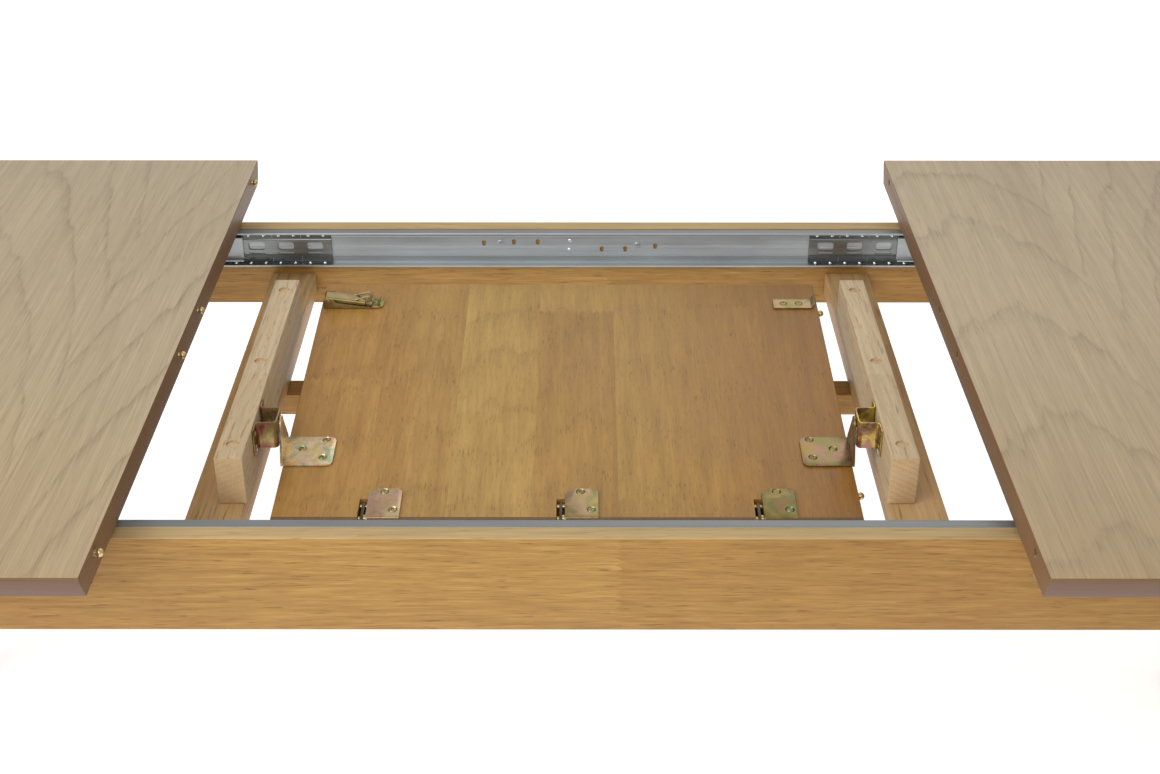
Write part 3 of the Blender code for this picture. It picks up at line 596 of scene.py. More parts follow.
platings = {  # roughness, scale, shift of the pattern, then the film's tints
    "Pink": (0.3, 26, 0.0, "pink", "pale", "pink", "gold"),
    "Green": (0.3, 26, 2.0, "green", "pale", "green", "gold"),
    "Mixed": (0.28, 40, 5.0, "pink", "green", "pale", "teal", "gold"),
    "Red": (0.3, 60, 8.0, "maroon", "copper", "green", "pink"),
    "Olive": (
        0.34, 36, 11.0, (0.20, 0.155, 0.045), (0.27, 0.20, 0.065), (0.16, 0.15, 0.05), (0.22, 0.13, 0.055),
    ),
    "Straw": (
        0.3, 36, 14.0, (0.35, 0.25, 0.095), (0.25, 0.22, 0.07), (0.38, 0.25, 0.14), (0.28, 0.24, 0.10),
    ),
    "Copper": (
        0.3, 44, 17.0, (0.31, 0.17, 0.115), (0.22, 0.20, 0.06), (0.33, 0.18, 0.13), (0.30, 0.22, 0.05),
    ),
    "Pale": (
        0.28, 52, 5.0, (0.70, 0.42, 0.32), (0.62, 0.50, 0.20), (0.74, 0.52, 0.36), (0.36, 0.45, 0.29),
        (0.66, 0.46, 0.13),
    ),
    "Bright": (
        0.26, 50, 21.0, (0.42, 0.32, 0.05), (0.58, 0.44, 0.10), (0.36, 0.18, 0.14), (0.30, 0.26, 0.05),
    ),
}
for name, values in steels.items():
    finishes[name] = makeSteel(name, *values)
for name, (rough, scale, salt, *tints) in platings.items():
    tints = [zinc.get(tint, tint) for tint in tints]
    finishes["plating" + name] = makePlating("yellowZinc" + name, rough, scale, salt, *tints)
finishes["brass"] = makePlating("pinBrass", 0.2, 60, 1.0, (0.52, 0.38, 0.17), (0.66, 0.50, 0.25))
print("finishes made:", len(finishes))


# Screw heads, modelled once and copied to wherever a screw goes

screw = {
    "radius": 0.0038, "rise": 0.0017, "crossReach": 0.0025, "crossWidth": 0.0008, "crossDepth": 0.0012,
    "foot": 0.0006, "turnStep": 0.9,
}


def makeScrewHead():
    radius, rise = screw["radius"], screw["rise"]
    head = turnShape(
        "screwHead",
        [(-screw["foot"], 0), (-screw["foot"], radius), (rise * 0.35, radius), (rise * 0.8, radius * 0.78),
         (rise, radius * 0.45), (rise, 0)],
        (0, 0, 0), (0, 0, 1), 20,
    )
    reach, width, depth = screw["crossReach"], screw["crossWidth"] / 2, screw["crossDepth"]
    for a, b in ((reach, width), (width, reach)):
        cutAway(head, addBlock("crossCut", (-a, -b, rise - depth), (a, b, rise + 0.001)))
    return head


screwHead = makeScrewHead()


def placeScrews(name, spots, axis, turn=0.4, scale=1.0):
    # a cross-head at every spot, each turned a little further than the last
    aim = Vector(axis).to_track_quat("Z", "Y").to_matrix().to_4x4()
    heads = []
    for i, spot in enumerate(spots):
        spin = Matrix.Rotation(turn + i * screw["turnStep"], 4, "Z")
        place = Matrix.Translation(spot) @ aim @ spin @ Matrix.Scale(scale, 4)
        heads.append(copyTo(screwHead, "head", place))
    return joinAll(name, heads)


countersink = {"depth": 0.0012, "floor": 0.0036, "mouth": 0.0049, "lap": 0.0002, "clear": 0.001}


def sinkHoles(plate, spots, depth=countersink["depth"], mouth=countersink["mouth"]):
    # a tapered hole under every screw head, in a plate that faces down
    floor, lap, clear = countersink["floor"], countersink["lap"], countersink["clear"]
    for spot in spots:
        profile = [(-depth, 0), (-depth, floor), (lap, mouth), (clear, mouth), (clear, 0)]
        cutAway(plate, turnShape("countersink", profile, spot, (0, 0, -1), 24))


# Sliding top halves

topHalf = {
    "noseDrop": 0.0045, "undercut": 0.012, "edgeEase": 0.0007, "socketRadius": 0.0043, "socketDepth": 0.013,
}
pin = {"radius": 0.004, "proud": 0.008, "shank": 0.006, "drop": 0.010, "waist": 0.86}
pinYs = (-0.40, -0.05, 0.05, 0.40)
hair = 0.001  # how near a plane a face or point counts as lying on it


def pinAt(name, spot):
    # a round-nosed dowel, waisted where it leaves the panel's edge
    radius, proud = pin["radius"], pin["proud"]
    nose = [
        (proud - radius + radius * math.sin(math.radians(a)), radius * math.cos(math.radians(a)))
        for a in range(0, 91, 15)
    ]
    shank, thin, waist = -pin["shank"], radius * 0.9, radius * pin["waist"]
    profile = [(shank, 0), (shank, thin), (0, thin), (0.0012, radius * 0.84), (proud * 0.35, waist)]
    return turnShape(name, profile + nose, spot, (1, 0, 0), 20)


def drillSockets(panel, spots):
    depth = Vector((topHalf["socketDepth"], 0, 0))
    for spot in spots:
        cutAway(panel, addRod("socketCut", spot - depth, spot + depth, topHalf["socketRadius"], 24))


def makeTopHalf(side, way):
    node = side + "_top_panel"
    low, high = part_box(node)
    inner, outer = sorted((abs(low.x), abs(high.x)))
    cut = topHalf["undercut"]
    panel = addBlock(side + "TopPanel", low, high)
    noseZ = high.z - topHalf["noseDrop"]
    pick(panel, "FACE", lambda at, out: True)
    bpy.ops.mesh.bisect(plane_co=(0, 0, noseZ), plane_no=(0, 0, 1))
    pick(panel, "VERT", lambda at, out: at.z < low.z + hair)
    bpy.ops.transform.resize(value=(1, 1 - cut / high.y, 1), center_override=(0, 0, low.z))
    pick(panel, "VERT", lambda at, out: at.z < low.z + hair and abs(at.x) > outer - hair)
    bpy.ops.transform.translate(value=(-way * cut, 0, 0))
    easeEdges(panel, topHalf["edgeEase"], 3)
    spots = [Vector((way * inner, y, high.z - pin["drop"])) for y in pinYs]
    if side == "right":
        drillSockets(panel, spots)
    paint(panel, 1, lambda at, out: abs(out.z) < 0.9)
    paint(panel, 2, lambda at, out: abs(out.z) < 0.5 and at.z > noseZ and abs(at.x) > inner + 3 * hair)
    # painted shade: the downward bevel takes the greyer, bluer copy of the banding
    paint(panel, 3, lambda at, out: -0.9 < out.z < -0.2)
    paint(panel, 4, lambda at, out: out.z < -0.9 and abs(at.z - low.z) < hair)
    looks = [finishes[k] for k in ("veneer", "edgeBand", "noseBand", "undercutShadeBand", "balance")]
    fit(panel, side + "_top", looks, "oak_veneer", node)
    if side == "left":
        for i, spot in enumerate(spots, start=1):
            dowel = pinAt(f"leftTopPin{i}", spot)
            fit(dowel, "left_top", [finishes["brass"]], "pin_brass", f"left_top_pin_{i}", angle=50)


for side, way in sides:
    makeTopHalf(side, way)
print("top halves made")


# Aprons, legs and the timber under the tops

timber = {"ease": 0.0015, "legEase": 0.0035, "taperDrop": 0.110, "footSize": 0.042}


def makeTimber(node, name, ease, finish, slot, body="frame", segments=3):
    piece = addBlock(name, *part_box(node))
    easeEdges(piece, ease, segments)
    return fit(piece, body, finish, slot, node)


def makeAprons():
    looks = [finishes["apron"], finishes["apronPale"]]
    for face, way in faces:
        piece = makeTimber(face + "_apron", face + "Apron", timber["ease"], looks, "apron_wood")
        # the top face is a paler wood, and the eased arrises along the top take it too, as a painted
        # highlight
        paint(piece, 1, lambda at, out: out.z > 0.3)
    for side, way in sides:
        look = [finishes["endApron"]]
        makeTimber(side + "_end_apron", side + "EndApron", timber["ease"], look, "apron_wood")


def makeLeg(side, face, wayX, wayY):
    # square above, tapering on its two inner faces below the aprons
    node = f"{side}_{face}_leg"
    low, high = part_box(node)
    leg = addBlock(side + face.capitalize() + "Leg", low, high)
    pick(leg, "FACE", lambda at, out: True)
    bpy.ops.mesh.bisect(plane_co=(0, 0, high.z - timber["taperDrop"]), plane_no=(0, 0, 1))
    outer = Vector((high.x if wayX > 0 else low.x, high.y if wayY > 0 else low.y, 0))
    share = timber["footSize"] / (high.x - low.x)
    pick(leg, "VERT", lambda at, out: at.z < hair)
    bpy.ops.transform.resize(value=(share, share, 1), center_override=outer)
    easeEdges(leg, timber["legEase"], 4, 25)
    paint(leg, 1, lambda at, out: abs(out.z) > 0.9)
    fit(leg, "frame", [finishes["leg"], finishes["apronPale"]], "apron_wood", node)


def carryOver(node, finish):
    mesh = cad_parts[node].data
    if mesh.materials:
        for i in range(len(mesh.materials)):
            mesh.materials[i] = finish
    else:
        mesh.materials.append(finish)


makeAprons()
for side, wayX in sides:
    for face, wayY in faces:
        makeLeg(side, face, wayX, wayY)
        carryOver(f"{side}_{face}_corner_block", finishes["beam"])

spacer = {"ease": 0.0012, "boreYs": (-0.168, 0, 0.168), "boreRadius": 0.0065, "plugDepth": 0.0022}
cleat = {"ease": 0.001, "boreRadius": 0.005, "boreDepth": 0.012, "bores": (0.12, 0.5, 0.88)}
clear = 0.01  # how far a drill starts outside the timber


def makeCrossTimber(side):
    makeTimber(side + "_crossbeam", side + "Crossbeam", timber["ease"], [finishes["beam"]], "beam_wood")
    node = side + "_spacer_block"
    low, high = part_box(node)
    block = addBlock(side + "SpacerBlock", low, high)
    easeEdges(block, spacer["ease"], 3)
    middle = (low.x + high.x) / 2
    for y in spacer["boreYs"]:
        foot = Vector((middle, y, high.z - spacer["plugDepth"]))
        cutAway(block, addRod("bore", foot, foot + Vector((0, 0, 2 * clear)), spacer["boreRadius"], 32))
    paint(block, 1, lambda at, out: out.z > 0.9 and at.z < high.z - hair)
    paint(block, 1, lambda at, out: abs(out.y) > 0.9 and abs(at.y) > high.y - hair / 2)
    fit(block, "frame", [finishes["block"], finishes["blockEnd"]], "beam_wood", node)
    for face, way in faces:
        node = f"{side}_{face}_cleat"
        low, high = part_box(node)
        piece = addBlock(side + face.capitalize() + "Cleat", low, high)
        easeEdges(piece, cleat["ease"], 2)
        for share in cleat["bores"]:
            foot = Vector((low.x + (high.x - low.x) * share, (low.y + high.y) / 2, low.z - clear))
            top = foot + Vector((0, 0, clear + cleat["boreDepth"]))
            cutAway(piece, addRod("bore", foot, top, cleat["boreRadius"], 24))
        fit(piece, side + "_top", [finishes["apron"]], "beam_wood", node)


for side, way in sides:
    makeCrossTimber(side)
makeTimber("stow_rail", "stowRail", 0.001, [finishes["apron"]], "beam_wood")
print("timber made")


# Ball-bearing slides: depth runs from the apron's inner face towards the table's middle

outerSlide = {
    "stock": 0.0012,
    "section": (
        (0.0119, 0.0206), (0.0119, 0.0224), (0.0006, 0.0224), (0.0006, 0.0140), (0.0012, 0.0128),
        (0.0012, 0.0012), (0.0008, 0.0), (0.0012, -0.0012), (0.0012, -0.0128), (0.0006, -0.0140),
        (0.0006, -0.0224), (0.0119, -0.0224), (0.0119, -0.0206),
    ),
    "holes": ((-0.1065, 0.006), (-0.0695, 0.0075), (-0.040, 0.0075), (0.039, -0.002), (0.068, -0.002),
              (0.105, 0.002)),
    "holeRadius": 0.0026, "holeDrop": 0.0026,
    "screws": ((-0.086, 0.006), (0.083, 0.003)),
    "screwDepth": 0.0016, "stops": ((0.0, 0.0110), (-0.0010, -0.0040)), "stopRadius": 0.0026,
    "stopRise": 0.0012, "stopDepth": 0.0017, "through": 0.004,
}
innerSlide = {
    "stock": 0.0014,
    "section": ((0.0118, 0.0150), (0.0044, 0.0150), (0.0044, -0.0150), (0.0118, -0.0150)),
}
cage = {
    "stock": 0.0008, "pitch": 0.036, "firstWindow": 0.0205, "windows": 3,
    "windowHalf": (0.0100, 0.0052), "windowRise": 0.0015, "slotHalf": (0.0098, 0.0014), "slotDrop": 0.0078,
    "notchFirst": 0.0015, "notchHalf": 0.0008, "notchHeight": 0.0165, "notchTall": 0.0045,
    "webDepth": 0.0028, "through": 0.0014, "corner": 0.55, "paintedShadeFrom": 0.0112, "paintedShadeTo": 0.0098,
    "section": (
        (0.0088, 0.0192), (0.0024, 0.0192), (0.0024, 0.0108), (0.0031, 0.0098), (0.0031, -0.0098),
        (0.0024, -0.0108), (0.0024, -0.0192), (0.0088, -0.0192),
    ),
    "ballPitch": 0.0183, "ballFirst": 0.0086, "balls": 15, "ballRadius": 0.0024, "ballDepth": 0.0086,
    "ballHeight": 0.0188,
}


def slideWall(way):
    low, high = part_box(("front" if way < 0 else "back") + "_outer_slide")
    return max(abs(low.y), abs(high.y)), (low.z + high.z) / 2


def drawSection(name, section, way, start, end, stock, reach):
    wall, middle = slideWall(way)
    path = [(start, way * (wall - depth), middle + z) for depth, z in section]
    return foldStrip(name, path, (end - start, 0, 0), stock, reach)


def makeOuterSlide(face, way):
    size = outerSlide
    node = face + "_outer_slide"
    low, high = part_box(node)
    wall, middle = slideWall(way)
    rail = drawSection(face + "OuterSlide", size["section"], way, low.x, high.x, size["stock"], 0.0012)
    through = Vector((0, size["through"], 0))
    for x, z in size["holes"]:
        for drop, shrink in ((0, 1.0), (size["holeDrop"], 0.85)):
            spot = Vector((x, way * (wall - 0.001), middle + z - drop))
            cutAway(rail, addRod("hole", spot - through, spot + through, size["holeRadius"] * shrink, 20))
    # painted shade: the top flange takes the darker copy of the slide steel
    paint(rail, 1, lambda at, out: abs(out.z) > 0.9 and at.z > middle + 0.02)
    fit(rail, "frame", [finishes["slideSteel"], finishes["slidePaintedShade"]], "slide_steel", node)
    heads = [(x, way * (wall - size["screwDepth"]), middle + z) for x, z in size["screws"]]
    heads = placeScrews(face + "SlideScrews", heads, (0, -way, 0))
    fit(heads, "frame", [finishes["slideSteel"]], "slide_steel")
    depth = way * (wall - size["stopDepth"])
    stops = [addBall("stop", (x, depth, middle + z), size["stopRadius"], 14, 8) for x, z in size["stops"]]
    stops = joinAll(face + "SlideStops", stops)
    pick(stops, "VERT", lambda at, out: True)
    flat = (1, size["stopRise"] / size["stopRadius"], 0.8)
    bpy.ops.transform.resize(value=flat, center_override=(0, depth, middle))
    letGo()
    fit(stops, "frame", [finishes["ballSteel"]], "slide_steel")


def makeInnerSlide(side, face, wayX, wayY):
    node = f"{side}_{face}_inner_slide"
    low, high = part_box(node)
    piece = drawSection(
        side + face.capitalize() + "InnerSlide", innerSlide["section"], wayY, low.x, high.x,
        innerSlide["stock"], 0.002,
    )
    fit(piece, side + "_top", [finishes["slideSteel"]], "slide_steel", node)


def makeCage(side, face, wayX, wayY):
    size = cage
    node = f"{side}_{face}_ball_cage"
    wall, middle = slideWall(wayY)
    near, far = sorted(abs(corner.x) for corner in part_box(node))
    name = side + face.capitalize()
    strip = drawSection(
        name + "BallCage", size["section"], wayY, wayX * near, wayX * far, size["stock"], 0.0008
    )
    web = wayY * (wall - size["webDepth"])

    def opening(x, z, halfX, halfZ):
        reach = Vector((halfX, size["through"], halfZ))
        cutter = addBlock("opening", Vector((x, web, z)) - reach, Vector((x, web, z)) + reach)
        pick(cutter, "EDGE", lambda at, along: abs(along.y) > 0.9)
        bpy.ops.mesh.bevel(offset=min(halfX, halfZ) * size["corner"], segments=3)
        letGo()
        cutAway(strip, cutter)

    for i in range(size["windows"]):
        x = wayX * (near + size["firstWindow"] + i * size["pitch"])
        opening(x, middle + size["windowRise"], *size["windowHalf"])
        opening(x, middle - size["slotDrop"], *size["slotHalf"])
        notchX, half = wayX * (near + size["notchFirst"] + (i + 1) * size["pitch"]), size["notchHalf"]
        for up in (-1, 1):
            z, tall = middle + up * size["notchHeight"], size["notchTall"]
            cutAway(strip, addBlock(
                "notch", (notchX - half, web - 0.003, z - tall), (notchX + half, web + 0.003, z + tall)
            ))
    # painted shade: the ball-row strips, the walls of the windows and slots and the ends take the darker cage
    # steel
    paint(strip, 1, lambda at, out: abs(at.z - middle) > size["paintedShadeFrom"])
    paint(strip, 1, lambda at, out: abs(out.y) < 0.5 and abs(at.z - middle) < size["paintedShadeTo"])
    paint(strip, 1, lambda at, out: abs(out.x) > 0.9)
    fit(strip, side + "_cages", [finishes["cageSteel"], finishes["cagePaintedShade"]], "slide_steel", node)
    first = addBall("ball", (0, 0, 0), size["ballRadius"])
    balls = []
    for i in range(size["balls"]):
        for up in (-1, 1):
            spot = (wayX * (near + size["ballFirst"] + i * size["ballPitch"]),
                    wayY * (wall - size["ballDepth"]), middle + up * size["ballHeight"])
            balls.append(copyTo(first, "ball", Matrix.Translation(spot)))
    bpy.data.objects.remove(first)
    fit(joinAll(name + "Balls", balls), side + "_cages", [finishes["ballSteel"]], "slide_steel", angle=60)


for face, wayY in faces:
    makeOuterSlide(face, wayY)
    for side, wayX in sides:
        makeInnerSlide(side, face, wayX, wayY)
        makeCage(side, face, wayX, wayY)
print("slides made")


# The leaf: modelled flat between the top halves, then folded and turned onto its rail

leaf = {
    "length": 0.58, "halfWidth": 0.45, "thickness": 0.020, "seam": 0.0003, "ease": 0.0008, "seamShade": 0.0035,
    "slotXs": (-0.195, 0.0, 0.195), "slotWidth": 0.0105, "slotReach": 0.032, "slotDepth": 0.014,
    "opening": 0.93578, "tilt": 4.0, "pivotY": -0.110, "pivotZ": 0.6935,
}
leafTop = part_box("left_top_panel")[1].z
leafUnder = leafTop - leaf["thickness"]


def turnAbout(y, z, degrees):
    spot = Matrix.Translation((0, y, z))
    return spot @ Matrix.Rotation(math.radians(degrees), 4, "X") @ spot.inverted()


flipped = turnAbout(leaf["pivotY"], leaf["pivotZ"], leaf["tilt"] - 180)
stow = {"a": flipped, "b": flipped @ turnAbout(0, leafTop + leaf["seam"], 180 - leaf["opening"])}


def fitLeaf(piece, half, looks, slot, *nodes, body=None, angle=35):
    piece.matrix_world = stow[half]
    settle(piece)
    return fit(piece, body or "leaf_" + half, looks, slot, *nodes, angle=angle)


def makeLeafPanel(half, way):
    size, halfLength = leaf, leaf["length"] / 2
    panel = addBlock(
        f"leaf{half.upper()}Panel", (-halfLength, way * size["seam"], leafUnder),
        (halfLength, way * size["halfWidth"], leafTop),
    )
    pick(panel, "FACE", lambda at, out: True)
    # this cut gives the painted shadow line along the seam its own faces
    bpy.ops.mesh.bisect(plane_co=(0, way * size["seamShade"], 0), plane_no=(0, 1, 0))
    easeEdges(panel, size["ease"], 3)
    for x in size["slotXs"]:
        cutAway(panel, addBlock(
            "slotCut", (x - size["slotWidth"], -way * 2 * hair, leafUnder - 2 * hair),
            (x, way * size["slotReach"], leafUnder + size["slotDepth"]),
        ))
    ys = sorted((y for y in pinYs if y * way > 0), key=abs)
    pinZ = leafTop - pin["drop"]
    drillSockets(panel, [Vector((-halfLength, y, pinZ)) for y in sorted(ys)])
    paint(panel, 1, lambda at, out: out.z > 0.9 and at.z > leafTop - hair)
    paint(panel, 2, lambda at, out: abs(out.y) > 0.9 and abs(at.y) > size["halfWidth"] - hair)
    # painted shadow line: faces near the seam, except the upward face, take the darker edge banding
    paint(panel, 3, lambda at, out: abs(at.y) < size["seamShade"] and out.z < 0.9)
    looks = [finishes[k] for k in ("leaf", "veneer", "noseBand", "edgeBand")]
    fitLeaf(panel, half, looks, "leaf_wood", f"leaf_{half}_panel")
    for i, y in enumerate(ys, start=1):
        dowel = pinAt(f"leaf{half.upper()}Pin{i}", (halfLength, y, pinZ))
        fitLeaf(dowel, half, [finishes["brass"]], "pin_brass", f"leaf_{half}_pin_{i}", angle=50)


foldHinge = {
    "plateX": 0.031, "plateY": 0.047, "stock": 0.0018, "corner": 0.0045, "chamfer": 0.008, "ease": 0.0004,
    "lap": 0.0022, "gap": 0.0008, "screws": ((0.0132, 0.0420), (0.0238, 0.0131)), "screwSink": 0.0011,
    "cheek": 0.0016, "cheekReach": 0.0305, "cheekDrop": 0.003, "armX": 0.0062, "armWidth": 0.0032,
    "arm": ((0.0025, 0.0010), (0.0290, 0.0015), (0.0305, 0.0045), (0.0290, 0.0100), (0.0060, 0.0110),
            (0.0025, 0.0090)),
    "rivets": ((0.0070, 0.0050), (0.0265, 0.0052)), "rivetX": (0.0098, 0.0024), "rivetRadius": 0.0022,
    "collarX": 0.0016, "collarRadius": 0.0040, "looks": ("platingPink", "platingStraw", "platingOlive"),
}


def makeFoldHinges(half, way):
    size, face, stock = foldHinge, leafUnder - leaf["seam"], foldHinge["stock"]
    for i, x in enumerate(leaf["slotXs"], start=1):
        name = f"foldHinge{i}{half.upper()}"
        near, far = way * size["gap"], way * size["plateY"]
        left, right = x - size["lap"], x + size["plateX"]
        corner, chamfer = size["corner"], size["chamfer"]
        outline = [
            (left, near), (right, near), (right, far - way * corner), (right - corner, far),
            (x + chamfer - 0.001, far), (left, far - way * chamfer),
        ]
        plate = cutPlate(name + "Plate", [(a, b, face) for a, b in outline], (0, 0, -stock))
        easeEdges(plate, size["ease"], 2)
        spots = [Vector((x + a, way * b, face - stock)) for a, b in size["screws"]]
        sinkHoles(plate, spots)
        cheekTop = leafUnder + leaf["slotDepth"] - size["cheekDrop"]
        cheek = addBlock(
            "cheek", (left, way * 0.0012, face - 0.0004),
            (left + size["cheek"], way * size["cheekReach"], cheekTop),
        )
        plate = joinAll(name + "Plate", [plate, cheek])
        look = [finishes[size["looks"][i - 1]]]
        fitLeaf(plate, half, look, "yellow_zinc", f"fold_hinge_{i}_plate_{half}")
        heads = [spot + Vector((0, 0, size["screwSink"])) for spot in spots]
        heads = placeScrews(name + "Screws", heads, (0, 0, -1), 0.5 + i, 0.95)
        fitLeaf(heads, half, [finishes["platingMixed"]], "yellow_zinc")
        armX = x - size["armX"]
        outline = [(armX - size["armWidth"] / 2, way * a, leafUnder + b) for a, b in size["arm"]]
        arm = cutPlate(name + "Arm", outline, (size["armWidth"], 0, 0))
        easeEdges(arm, 0.0005, 2)
        arm.data.materials.append(finishes["darkSteel"])
        start, end = (x - back for back in size["rivetX"])
        rods = [(armX + size["collarX"], *size["rivets"][0], size["collarRadius"])]
        rods += [(start, *place, size["rivetRadius"]) for place in size["rivets"]]
        parts = [arm]
        for fromX, a, b, radius in rods:
            y, z = way * a, leafUnder + b
            parts.append(addRod("rivet", (fromX, y, z), (end, y, z), radius))
            parts[-1].data.materials.append(finishes["brass"])
        fitLeaf(joinAll(name + "Arm", parts), half, [], "yellow_zinc")


for half, way in (("a", -1), ("b", 1)):
    makeLeafPanel(half, way)
    makeFoldHinges(half, way)
print("leaf panels and fold hinges made")


# Pivot plates on the leaf, and the brackets that carry them

pivotPlate = {
    "sizeX": 0.050, "sizeY": 0.050, "past": 0.0021, "stock": 0.0018, "corner": 0.0060, "ease": 0.0004,
    "screws": ((-0.2506, 0.1302), (-0.2735, 0.1144), (-0.2510, 0.0997)), "screwSink": 0.0011,
    "earRadius": 0.0085, "earGap": 0.0003, "earInset": 0.0005, "earNeck": 0.005,
    "pinOut": 0.001, "headOut": 0.0004,
    "pin": ((0, 0), (0, 0.0029), (0.0050, 0.0029), (0.0058, 0.0022), (0.0062, 0)),
    "head": ((0, 0), (0, 0.0048), (0.0006, 0.0046), (0.0011, 0.0032), (0.0012, 0)),
}
bracket = {
    "stock": 0.0016, "crown": 0.030, "flange": 0.017, "bend": 0.0045, "ease": 0.0004, "crownX": 0.2940,
    "flangeX": 0.3144, "screwZs": (-0.008, 0.007), "screwShare": 0.55, "bore": 0.0034,
}


def makePivotPlate(side, way):
    size, face = pivotPlate, leafUnder - leaf["seam"]
    end, middle = leaf["length"] / 2, leaf["pivotY"]
    inner, outer = end - size["sizeX"], end + size["past"]
    lowY, highY = middle - size["sizeY"] / 2, middle + size["sizeY"] / 2
    corner = size["corner"]
    outline = [(outer, lowY), (outer, highY)]
    for y, sign in ((highY, -1), (lowY, 1)):
        cut = corner * 0.3
        rounded = [(inner + corner, y), (inner + cut, y + sign * cut), (inner, y + sign * corner)]
        outline += rounded[::-sign]
    plate = cutPlate(side + "PivotPlate", [(way * x, y, face) for x, y in outline], (0, 0, -size["stock"]))
    easeEdges(plate, size["ease"], 2)
    spots = [Vector((-way * x, -s, face - size["stock"])) for x, s in size["screws"]]
    sinkHoles(plate, spots)
    earX, radius = end + size["earGap"], size["earRadius"]
    inset, neck = size["earInset"], face - size["earNeck"]
    arc = [
        (middle + radius * math.cos(a), leaf["pivotZ"] + radius * math.sin(a))
        for a in (math.pi * (1 + i / 8) for i in range(9))
    ]
    ear = [(lowY + inset, face), (lowY + inset, neck), *arc, (highY - inset, neck), (highY - inset, face)]
    flap = cutPlate("ear", [(way * earX, y, z) for y, z in ear], (way * size["stock"], 0, 0))
    easeEdges(flap, size["ease"], 2)
    parts = [plate, flap]
    for key, out, aim in (("pin", size["pinOut"], way), ("head", size["headOut"], -way)):
        spot = (way * (earX + out), middle, leaf["pivotZ"])
        parts.append(turnShape("pivotPin", size[key], spot, (aim, 0, 0), 20))
    plate = joinAll(side + "PivotPlate", parts)
    look = finishes["platingPale" if side == "left" else "platingCopper"]
    fitLeaf(plate, "a", [look], "yellow_zinc", side + "_pivot_plate")
    heads = [spot + Vector((0, 0, size["screwSink"])) for spot in spots]
    heads = placeScrews(side + "PivotScrews", heads, (0, 0, -1), 0.3, 0.95)
    fitLeaf(heads, "a", [finishes["platingGreen"]], "yellow_zinc")


def makePivotBracket(side, way):
    size, middle, wall = bracket, leaf["pivotY"], bracket["flangeX"]
    node = side + "_pivot_bracket"
    low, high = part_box(node)
    crown = size["crown"] / 2
    reach = crown + size["flange"]
    front = size["crownX"]
    path = [(wall, -reach), (wall, -crown), (front, -crown), (front, crown), (wall, crown), (wall, reach)]
    path = [(way * x, middle + y, low.z) for x, y in path]
    tall = (0, 0, high.z - low.z)
    strip = foldStrip(side + "PivotBracket", path, tall, size["stock"], size["bend"], 5)
    spot, through = Vector((way * front, middle, leaf["pivotZ"])), Vector((0.005, 0, 0))
    cutAway(strip, addRod("pivotBore", spot - through, spot + through, size["bore"], 24))
    easeEdges(strip, size["ease"], 2)
    look = finishes["platingRed" if side == "left" else "platingBright"]
    fit(strip, "frame", [look], "yellow_zinc", node)
    centre, out = (low.z + high.z) / 2, crown + size["flange"] * size["screwShare"]
    screwX = way * (wall - size["stock"] / 2)
    spots = [(screwX, middle + up * out, centre + z) for up in (-1, 1) for z in size["screwZs"]]
    heads = placeScrews(side + "BracketScrews", spots, (-way, 0, 0), 0.2, 0.8)
    fit(heads, "frame", [finishes["platingMixed"]], "yellow_zinc")


for side, way in sides:
    makePivotPlate(side, way)
    makePivotBracket(side, way)
print("pivot plates and brackets made")


# Toggle latches and their strikes, under the edge that they pull together

latch = {
    "inset": 0.0465, "edgeGap": 0.003, "length": 0.069, "width": 0.0205, "stock": 0.0012,
    "corner": (0.004, 0.005), "earLength": 0.0165, "earDrop": 0.0128, "wallDrop": 0.0050,
    "wallEnd": 0.048, "pivotIn": 0.006,
    "pivotDrop": 0.010, "leverLength": 0.0455, "leverWidth": 0.0150, "leverSide": 0.0045, "leverSlope": 8.0,
    "leverSetback": 0.003, "leverTaper": 0.6, "rivet": 0.0021, "rivetProud": 0.0006, "ease": 0.0003,
    "screws": (0.0250, 0.0395, 0.0590), "tongueWidth": 0.009,
    "tongue": ((-0.012, -0.0016), (-0.006, -0.0016), (-0.0015, -0.0085)),
    "tabWidth": 0.011, "tab": ((-0.001, 0.0), (0.004, 0.0), (0.0075, -0.003)),
    "bailWidths": (0.0060, 0.0048, 0.0036), "bailRoot": (0.66, 0.0012), "bailPeak": (0.019, -0.0085),
    "bailFoot": (0.0045, 0.0075), "wire": 0.0011,
}
strike = {
    "length": 0.0485, "lip": 0.0070, "lipRun": 0.004, "tip": 0.0008, "stock": 0.0016,
    "screws": (0.012, 0.030), "holeDepth": 0.0011, "holeMouth": 0.0048, "screwSink": 0.0010,
}


